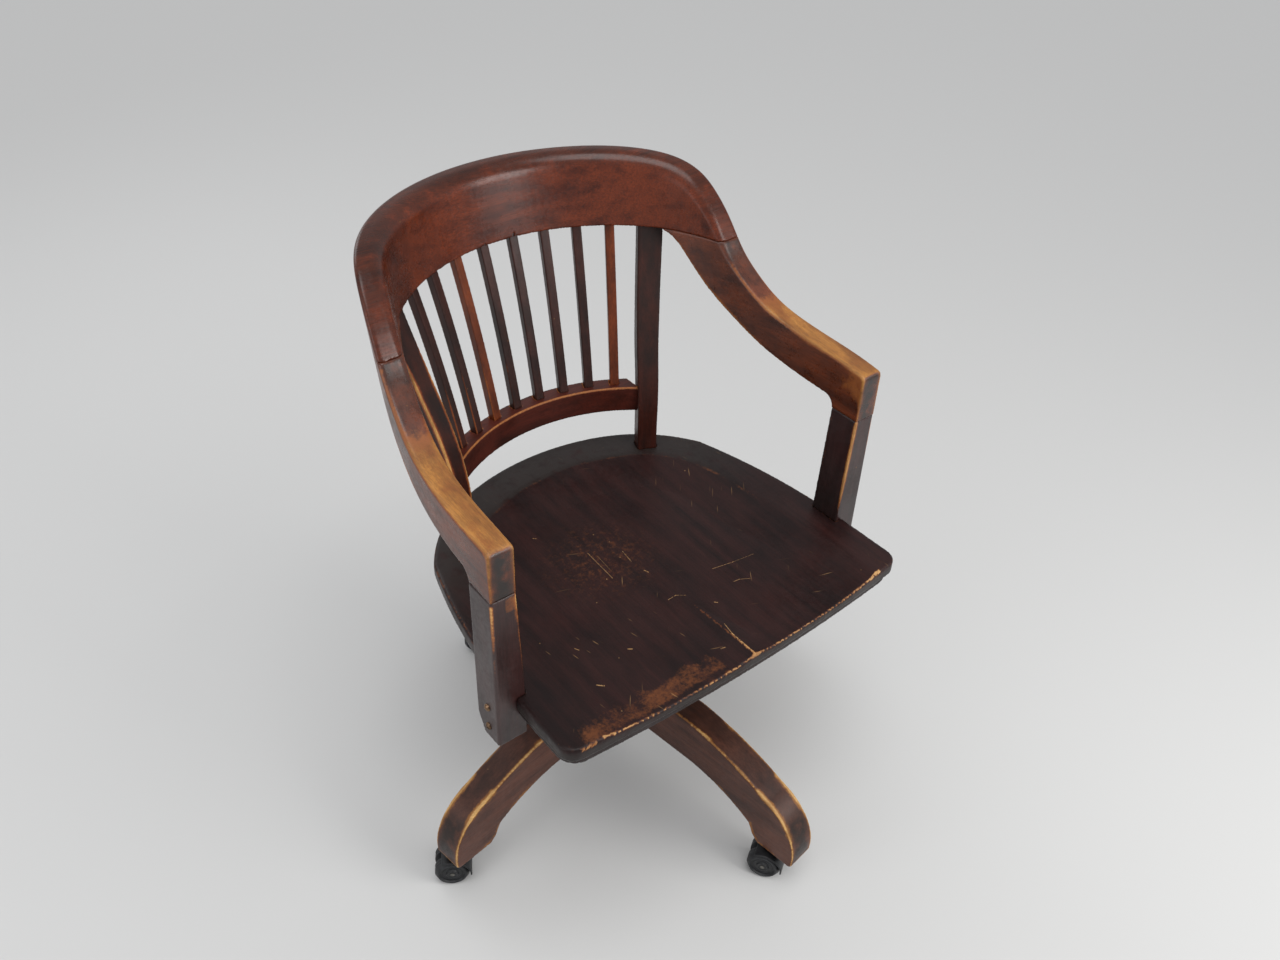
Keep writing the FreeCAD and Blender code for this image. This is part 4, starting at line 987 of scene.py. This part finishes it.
@dataclass
class FrontPosts:
    """The posts under the arms with their round-headed screws."""

    screw_levels: tuple[float, ...] = (409.0, 376.0)
    screw_turns: tuple[float, ...] = (0.5, 1.9)
    screw_place: tuple[float, float] = (300.0, -114.0)
    head: float = 5.2
    dome: float = 3.6
    slot: float = 1.2
    slot_depth: float = 1.2
    bevel: float = 0.18
    shank: float = 2.2
    length: float = 50.0

    def build(self) -> None:
        """Makes both posts and the screws."""
        for side in ("left", "right"):
            EasedPiece(f"front_post_{side}", "post_wood", POST_FINISH, easing=4,
                       joints=(ARM_JOINT,), wear=self.post_wear).build()
        pattern = self.screw()
        screws = []
        for side in (-1.0, 1.0):
            for level, turn in zip(self.screw_levels, self.screw_turns):
                copy = new_object("screw", pattern.data.copy())
                place = Matrix.Translation(Vector((side * self.screw_place[0],
                                                   self.screw_place[1], level)) * MM)
                tip = Matrix.Rotation(side * math.pi / 2, 4, "Y")
                move_mesh(copy, place @ tip @ Matrix.Rotation(turn, 4, "Z"))
                screws.append(copy)
        bpy.data.objects.remove(pattern)
        heads = joined(screws, "front_post_screw_set")
        shade_round(heads, 40.0)
        dress(heads, BRONZED)
        mount(heads, "seat", "bronzed_screws", "front_post_screws")

    def screw(self) -> bpy.types.Object:
        """Models one domed, slotted screw that points down from the origin."""
        bpy.ops.mesh.primitive_uv_sphere_add(segments=40, ring_count=20,
                                             radius=self.head * MM)
        screw = bpy.context.object
        with edit_mode(screw):
            bpy.ops.mesh.select_all(action="SELECT")
            bpy.ops.mesh.bisect(plane_co=(0.0, 0.0, 0.0), plane_no=(0.0, 0.0, 1.0),
                                clear_inner=True, use_fill=True)
            bpy.ops.mesh.select_all(action="SELECT")
            bpy.ops.transform.resize(value=(1.0, 1.0, self.dome / self.head),
                                     center_override=(0.0, 0.0, 0.0))
            select_where(screw, "FACE", lambda face: face.normal.z < -0.9)
            bpy.ops.mesh.inset(thickness=(self.head - self.shank) * MM)
            bpy.ops.mesh.extrude_region_move(
                TRANSFORM_OT_translate={"value": (0.0, 0.0, -self.length * MM)})
        bpy.ops.mesh.primitive_cube_add(size=1.0, location=(0.0, 0.0, self.dome * MM))
        blade = bpy.context.object
        with edit_mode(blade):
            bpy.ops.mesh.select_all(action="SELECT")
            bpy.ops.transform.resize(
                value=(3.0 * self.head * MM, self.slot * MM, 2.0 * self.slot_depth * MM),
                center_override=(0.0, 0.0, self.dome * MM))
        finish_with(screw, "BOOLEAN", operation="DIFFERENCE", object=blade,
                    solver="EXACT")
        bpy.data.objects.remove(blade)
        finish_with(screw, "BEVEL", width=self.bevel * MM, segments=2, limit_method="ANGLE",
                    angle_limit=math.radians(35.0))
        return screw

    def post_wear(self, surface: Surface, masks: Masks) -> Masks:
        """Gold front edges, wide on the inside of the right post, a rubbed patch, and painted
        shade low on the inner faces.
        """
        x, _, z = surface.axes()
        outward = surface.facing[:, 0] * np.sign(x)
        forward = ramp(surface.facing[:, 1], 0.2, -0.2)
        low = ramp(z, 425.0, 500.0)
        edge, wide = masks["edge"], masks["wide"]
        inside = ramp(outward, 0.3, -0.2) * ramp(x, -1.0, 1.0)
        right_inner = np.maximum(edge, 0.75 * wide) * inside * low * forward
        outer = np.maximum(edge, 0.6 * wide) * ramp(outward, -0.4, 0.2)
        outer = outer * forward * ramp(z, 500.0, 580.0)
        patch = band(z, 570.0, 588.0, 6.0) * band(np.abs(x), 266.0, 280.0, 6.0)
        patch = patch * forward * ramp(x, 1.0, -1.0)
        # Painted shade on the inner faces, low down beside the seat
        dark = ramp(outward, -0.5, -0.9) * ramp(z, 560.0, 440.0)
        return {"edge": edge * (0.25 + 0.55 * forward * low),
                "placed": np.maximum.reduce([0.95 * right_inner, outer, 0.48 * patch]),
                "grime": 0.5 * dark}


@dataclass
class Seat:
    """The dished seat board and the frame layer under it."""

    top: float = 426.0

    def build(self) -> None:
        """Makes the board and its frame."""
        EasedPiece("seat", "seat_wood", SEAT_FINISH, grid=2.75, fine=1.1, easing=4,
                   line=3.2, sharp=10.0, wear=self.board_wear).build()
        EasedPiece("seat_frame", "frame_wood", FRAME_FINISH, grid=2.2, fine=1.2,
                   easing=3, proud=6.0).build()
        EasedPiece("post_cleats", "frame_wood", FRAME_FINISH, easing=3).build()

    def board_wear(self, surface: Surface, masks: Masks) -> Masks:
        """A worn front edge and patch, the ridge's line, grey lower side walls and a painted
        grey reflection on the rear rim.
        """
        x, y, z = surface.axes()
        upward = ramp(surface.facing[:, 2], 0.35, 0.8)
        high = ramp(z, self.top - 10.5, self.top - 8.0)
        ahead = ramp(y, -195.0, -225.0)
        edge = masks["edge"] * high
        thin = ramp(edge, 0.3, 1.0)
        patch = upward * band(x, -236.0, -52.0, 34.0) * ramp(y, -184.0, -226.0)
        patch *= 1.0 - 0.5 * ramp(y, -236.0, -246.0)
        ridge = upward * ramp(np.abs(x), 2.6, 0.6) * ramp(y, -178.0, -215.0)
        rubbed = upward * (ramp(np.hypot((x + 45.0) / 80.0, (y - 5.0) / 75.0), 1.3, 0.2))
        corner = upward * ramp(np.hypot(np.abs(x) - 262.0, y + 235.0), 46.0, 14.0)
        crease = upward * band(z, self.top - 0.75, self.top - 0.4, 0.3)
        crease = crease * ramp(y, -120.0, 20.0)
        placed = np.maximum.reduce([
            thin * (0.3 + 0.55 * ahead), 0.49 * patch, 0.75 * ridge, 0.3 * corner,
            0.34 * crease])
        side = ramp(surface.facing[:, 2], 0.6, 0.2) * ramp(z, self.top - 7.0,
                                                           self.top - 11.0)
        # Painted reflection: a grey sheen on the upward faces of the rear rim
        rim = upward * ramp(z, self.top - 0.75, self.top - 0.4) * ramp(y, -20.0, 130.0)
        return {"edge": thin * (0.25 + 0.2 * ahead), "placed": placed, "rubbed": rubbed,
                "grime": np.maximum(0.9 * rim, 0.85 * side)}


@dataclass
class Pedestal:
    """Hub and four arched legs."""

    def build(self) -> None:
        """Makes the legs and the hub."""
        for name, finish in (("right", LEG_FINISH), ("left", LEG_FINISH),
                             ("front", LONG_LEG_FINISH), ("rear", LONG_LEG_FINISH)):
            EasedPiece(f"leg_{name}", "leg_wood", finish, body="base", easing=9,
                       wear=self.leg_wear).build()
        EasedPiece("base_hub", "leg_wood", HUB_FINISH, body="base", easing=5).build()

    def leg_wear(self, surface: Surface, masks: Masks) -> Masks:
        """Gold long edges that widen at the bend, a dark top and a black nose."""
        x, y, z = surface.axes()
        reach = np.hypot(x, y)
        upward = ramp(surface.facing[:, 2], 0.15, 0.6)
        out = (surface.facing[:, 0] * x + surface.facing[:, 1] * y) / np.maximum(reach, 1.0)
        above = np.maximum(upward, ramp(out, 0.3, 0.7))
        bend = band(reach, 215.0, 305.0, 55.0)
        edge, wide = masks["edge"], masks["wide"]
        worn = np.maximum(0.8 * edge, wide * (0.25 + 0.75 * bend))
        worn = worn * ramp(reach, 70.0, 150.0)
        worn = worn * (0.5 + 0.5 * bend) * (0.55 + 0.45 * above)
        under = ramp(surface.facing[:, 2], 0.0, -0.3)
        nose = ramp(out, 0.45, 0.8) * ramp(z, 150.0, 120.0)
        top = upward * ramp(reach, 330.0, 300.0)
        shield = 1.0 - 0.9 * np.clip(np.maximum(edge, wide * 0.8), 0.0, 1.0)
        return {"edge": edge * (0.2 + 0.8 * above), "placed": worn * (1.0 - 0.85 * under),
                "grime": (0.9 * nose + 0.35 * top) * shield}


# Iron and steel under the seat, and the castors


@dataclass
class Mechanism:
    """Yoke, irons, height nut, tension knob and spring."""

    coil_axis: tuple[float, float] = (0.0, -110.0)
    coil_low: float = 250.0
    coil_top: float = 322.0
    coil_mean: float = 15.5
    wire: float = 5.0
    active_turns: float = 4.0
    closed_climb: float = 1.06
    points_per_turn: int = 24
    pressed: float = 0.56

    def build(self) -> None:
        """Makes the castings and the spring, and finishes the small steel pieces."""
        for node, body in (("tilt_yoke", "yoke"), ("seat_iron_left", "seat"),
                           ("seat_iron_right", "seat"), ("spring_bar", "seat"),
                           ("height_nut", "height_nut"), ("tension_knob", "tension_knob")):
            EasedPiece(node, "dark_iron", IRON, body=body, grid=1.4, easing=4).build()
        self.spring()
        dress_nodes(STEEL, "seat_iron_screws", "spring_bar_bolts", "sleeve_screws",
                    "pivot_rod", "spindle_cap", "thrust_washer", "spring_washer",
                    "height_spindle", "tension_bolt", "spindle_sleeve", "castor_sockets")
        dress_nodes(RUBBER, "stop_pads")

    def spring(self) -> None:
        """Winds the tension spring with its closed ends."""
        half = self.wire / 2.0
        flat = self.wire * self.closed_climb
        climb = (self.coil_top - self.coil_low - self.wire - 2.0 * flat) / self.active_turns
        turns = self.active_turns + 2.0
        steps = int(turns * self.points_per_turn)
        data = bpy.data.curves.new("tension_spring_coil", "CURVE")
        data.dimensions = "3D"
        data.bevel_depth = half * MM
        data.bevel_resolution = 5
        data.resolution_u = 3
        data.use_fill_caps = True
        line = data.splines.new("NURBS")
        line.points.add(steps)
        for index in range(steps + 1):
            turn = turns * index / steps
            rise = flat * min(turn, 1.0) + climb * min(max(turn - 1.0, 0.0),
                                                        self.active_turns)
            rise += flat * max(turn - 1.0 - self.active_turns, 0.0)
            angle = 2.0 * math.pi * turn
            line.points[index].co = (
                (self.coil_axis[0] + self.coil_mean * math.cos(angle)) * MM,
                (self.coil_axis[1] + self.coil_mean * math.sin(angle)) * MM,
                (self.coil_low + half + rise) * MM, 1.0)
        line.order_u = 4
        line.use_endpoint_u = True
        select_only(new_object("tension_spring_coil", data))
        bpy.ops.object.convert(target="MESH")
        coil = bpy.context.object
        shade_round(coil, 50.0)
        dress(coil, SPRING)
        mount(coil, "yoke", "spring_steel", "tension_spring")
        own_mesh(coil)


@dataclass
class Castors:
    """Four black twin-wheel castors."""

    reach: float = 313.0
    leg_turn: float = 7.81
    radius: float = 24.0
    tread: float = 16.0
    trail: float = 20.0
    gap: float = 4.8
    grooves: tuple[float, ...] = (3.2, 8.0)
    groove_cuts: tuple[float, ...] = (0.0, 0.9, 1.8, 2.6)
    groove_size: float = 0.957
    face_size: float = 0.84
    hub_rim: float = 6.5
    bevel: float = 0.35
    rings: tuple[tuple[float, float], ...] = (
        (2.1, 0.0), (0.9, -2.3), (2.8, 0.0), (0.5, 0.6), (0.8, 0.0), (0.5, -0.6),
        (3.6, 0.0), (0.9, 2.2), (1.6, 0.0), (0.5, -0.5), (1.4, 0.0))
    legs: tuple[tuple[str, float, float], ...] = (
        ("right", 0.0, 32.0), ("rear", 90.0, 150.0), ("left", 180.0, 148.0),
        ("front", 270.0, 122.0))

    def build(self) -> None:
        """Makes the hoods and the pairs of wheels."""
        pattern = self.wheel()
        for name, quarter, heading in self.legs:
            EasedPiece(f"castor_hood_{name}", "castor_black", MOULDED,
                       body=f"castor_{name}", grid=1.0, fine=0.6,
                       easing=4).build()
            angle = math.radians(self.leg_turn + quarter)
            spot = Vector((self.reach * math.cos(angle), self.reach * math.sin(angle), 0))
            turned = (Matrix.Translation(spot * MM)
                      @ Matrix.Rotation(math.radians(heading), 4, "Z")
                      @ Matrix.Translation(Vector((self.trail, 0.0, self.radius)) * MM))
            wheels = []
            for side in (-1.0, 1.0):
                copy = new_object("wheel", pattern.data.copy())
                out = Matrix.Translation((0.0, side * self.gap * MM, 0.0))
                move_mesh(copy, turned @ out @ Matrix.Rotation(-side * math.pi / 2, 4, "X"))
                wheels.append(copy)
            pair = joined(wheels, f"castor_wheel_pair_{name}")
            mount(pair, f"wheels_{name}", "castor_tread", f"castor_wheels_{name}")
            dress_nodes(STEEL, f"castor_stem_{name}", f"castor_axle_{name}")
        bpy.data.objects.remove(pattern)

    def wheel(self) -> bpy.types.Object:
        """Models one wheel with a grooved tread and a dished, ringed face."""
        bpy.ops.mesh.primitive_cylinder_add(
            vertices=64, radius=self.radius * MM, depth=self.tread * MM,
            location=(0.0, 0.0, self.tread / 2 * MM))
        wheel = bpy.context.object
        move_mesh(wheel, wheel.matrix_world.copy())
        wheel.matrix_world = Matrix.Identity(4)
        with edit_mode(wheel):
            for start in self.grooves:
                for cut in self.groove_cuts:
                    bpy.ops.mesh.select_all(action="SELECT")
                    bpy.ops.mesh.bisect(plane_co=(0.0, 0.0, (start + cut) * MM),
                                        plane_no=(0.0, 0.0, 1.0))
            for start in self.grooves:
                level = start + self.groove_cuts[1]
                select_where(wheel, "VERT", lambda point:
                             abs(point.co.z - level * MM) < 0.05 * MM)
                bpy.ops.transform.resize(value=(self.groove_size, self.groove_size, 1.0),
                                         center_override=(0.0, 0.0, level * MM))
            select_where(wheel, "FACE", lambda face: face.normal.z > 0.9
                         and face.calc_center_median().z > (self.tread - 1.0) * MM)
            bpy.ops.transform.resize(value=(self.face_size, self.face_size, 1.0),
                                     center_override=(0.0, 0.0, self.tread * MM))
            for thickness, depth in self.rings:
                bpy.ops.mesh.inset(thickness=thickness * MM, depth=depth * MM)
        finish_with(wheel, "BEVEL", width=self.bevel * MM, segments=3, limit_method="ANGLE",
                    angle_limit=math.radians(38.0))
        shade_round(wheel, 40.0)
        wheel.data.materials.clear()
        wheel.data.materials.append(TYRE.material())
        wheel.data.materials.append(MOULDED.material())
        for face in wheel.data.polygons:
            face.material_index = int(math.hypot(face.center.x, face.center.y)
                                      < (self.radius - self.hub_rim) * MM)
        return wheel


# Studio


@dataclass
class Studio:
    """Pale floor, soft lamps and the camera."""

    eye: tuple[float, float, float] = (-0.7554, -0.9126, 1.4730)
    azimuth: float = -40.16
    elevation: float = 38.34
    roll: float = 2.43
    lens: float = 32.87
    floor_span: float = 30.0
    look_at: Vector = field(default_factory=lambda: Vector((0.0, 0.0, 0.45)))
    floor_colour: tuple[float, ...] = (0.6, 0.6, 0.595, 1.0)
    wall_colour: tuple[float, ...] = (0.62, 0.62, 0.61, 1.0)
    room_colour: tuple[float, ...] = (0.97, 0.98, 1.0, 1.0)
    room_strength: float = 0.5
    sky_from: tuple[float, float, float] = (-0.1, -0.2, 1.0)
    sky_power: float = 1.1
    sky_spread: float = 38.0
    lamps: tuple[tuple, ...] = (
        ("front_lamp", (0.85, -1.8, 1.45), 1.15, 24.0, (1.0, 0.99, 0.97)),
        ("rear_lamp", (-0.35, 1.9, 1.75), 1.1, 6.0, (0.98, 0.99, 1.0)),
        ("left_lamp", (-2.4, 0.1, 1.25), 1.5, 11.0, (0.99, 0.99, 1.0)))

    def build(self) -> None:
        """Makes the floor, the lamps, the world and the camera."""
        self.make_camera()
        self.make_floor()
        self.make_world()
        self.hang("sky_lamp", "SUN", Vector(self.sky_from), energy=self.sky_power,
                  angle=math.radians(self.sky_spread))
        for name, place, size, power, colour in self.lamps:
            lamp = self.hang(name, "AREA", Vector(place) - self.look_at, shape="SQUARE",
                             size=size, energy=power, color=colour)
            lamp.location = place
            lamp.visible_camera = False

    def make_camera(self) -> None:
        """Sets the camera at the photograph's viewing angle."""
        turn, lift = math.radians(self.azimuth), math.radians(self.elevation)
        back = Vector((math.sin(turn) * math.cos(lift), -math.cos(turn) * math.cos(lift),
                       math.sin(lift)))
        right = Vector((math.cos(turn), math.sin(turn), 0.0))
        up = back.cross(right)
        cosine, sine = math.cos(math.radians(self.roll)), math.sin(math.radians(self.roll))
        side = right * cosine + up * sine
        over = up * cosine - right * sine
        camera = new_object("camera", bpy.data.cameras.new("camera"))
        place = Matrix((side, over, back)).transposed().to_4x4()
        place.translation = self.eye
        camera.matrix_world = place
        camera.data.lens = self.lens
        camera.data.clip_start = 0.05
        camera.data.clip_end = 60.0
        bpy.context.scene.camera = camera

    def make_floor(self) -> None:
        """Lays a plain pale floor."""
        bpy.ops.mesh.primitive_plane_add(size=self.floor_span)
        floor = bpy.context.object
        floor.name = "studio_floor"
        material, wires, shader = fresh_material("pale_floor")
        wires.fill(shader, {"Base Color": self.floor_colour, "Roughness": 0.9,
                            "Specular IOR Level": 0.1})
        side = wires.add("NewGeometry")
        clear = wires.add("BsdfTransparent")
        shown = wires.add("MixShader", {0: side.outputs["Backfacing"],
                                        1: shader.outputs[0], 2: clear.outputs[0]})
        wires.feed(material.node_tree.nodes["Material Output"].inputs["Surface"],
                   shown.outputs[0])
        floor.data.materials.append(material)

    def make_world(self) -> None:
        """Lights the room evenly and shows a pale wall to the camera."""
        world = bpy.data.worlds.new("room")
        bpy.context.scene.world = world
        world.use_nodes = True
        wires = Wiring(world.node_tree)
        room = world.node_tree.nodes["Background"]
        wires.fill(room, {"Color": self.room_colour, "Strength": self.room_strength})
        wall = wires.add("Background", {"Color": self.wall_colour, "Strength": 1.0})
        path = wires.add("LightPath")
        seen = wires.add("MixShader", {
            0: path.outputs["Is Camera Ray"], 1: room.outputs[0], 2: wall.outputs[0]})
        wires.feed(world.node_tree.nodes["World Output"].inputs["Surface"],
                   seen.outputs[0])

    def hang(self, name: str, kind: str, source: Vector, **settings: object
             ) -> bpy.types.Object:
        """Makes one lamp whose light comes from a direction.

        Args:
            name: the lamp's name.
            kind: Blender's type of light.
            source: points from what is lit towards the lamp.
            settings: the light's own settings.

        Returns:
            The new lamp.
        """
        data = bpy.data.lights.new(name, kind)
        for key, value in settings.items():
            setattr(data, key, value)
        lamp = new_object(name, data)
        lamp.rotation_mode = "QUATERNION"
        lamp.rotation_quaternion = source.to_track_quat("Z", "Y")
        return lamp


def main() -> None:
    """Builds the studio and every sub-assembly in order."""
    logging.basicConfig(level=logging.INFO, format="%(name)s: %(message)s")
    scene = bpy.context.scene
    scene.view_settings.view_transform = "Standard"
    for assembly in (Studio(), Bow(), Backrest(), FrontPosts(), Seat(), Pedestal(),
                     Mechanism(), Castors()):
        assembly.build()
        log.info("%s done", type(assembly).__name__)


if __name__ == "__main__":
    main()
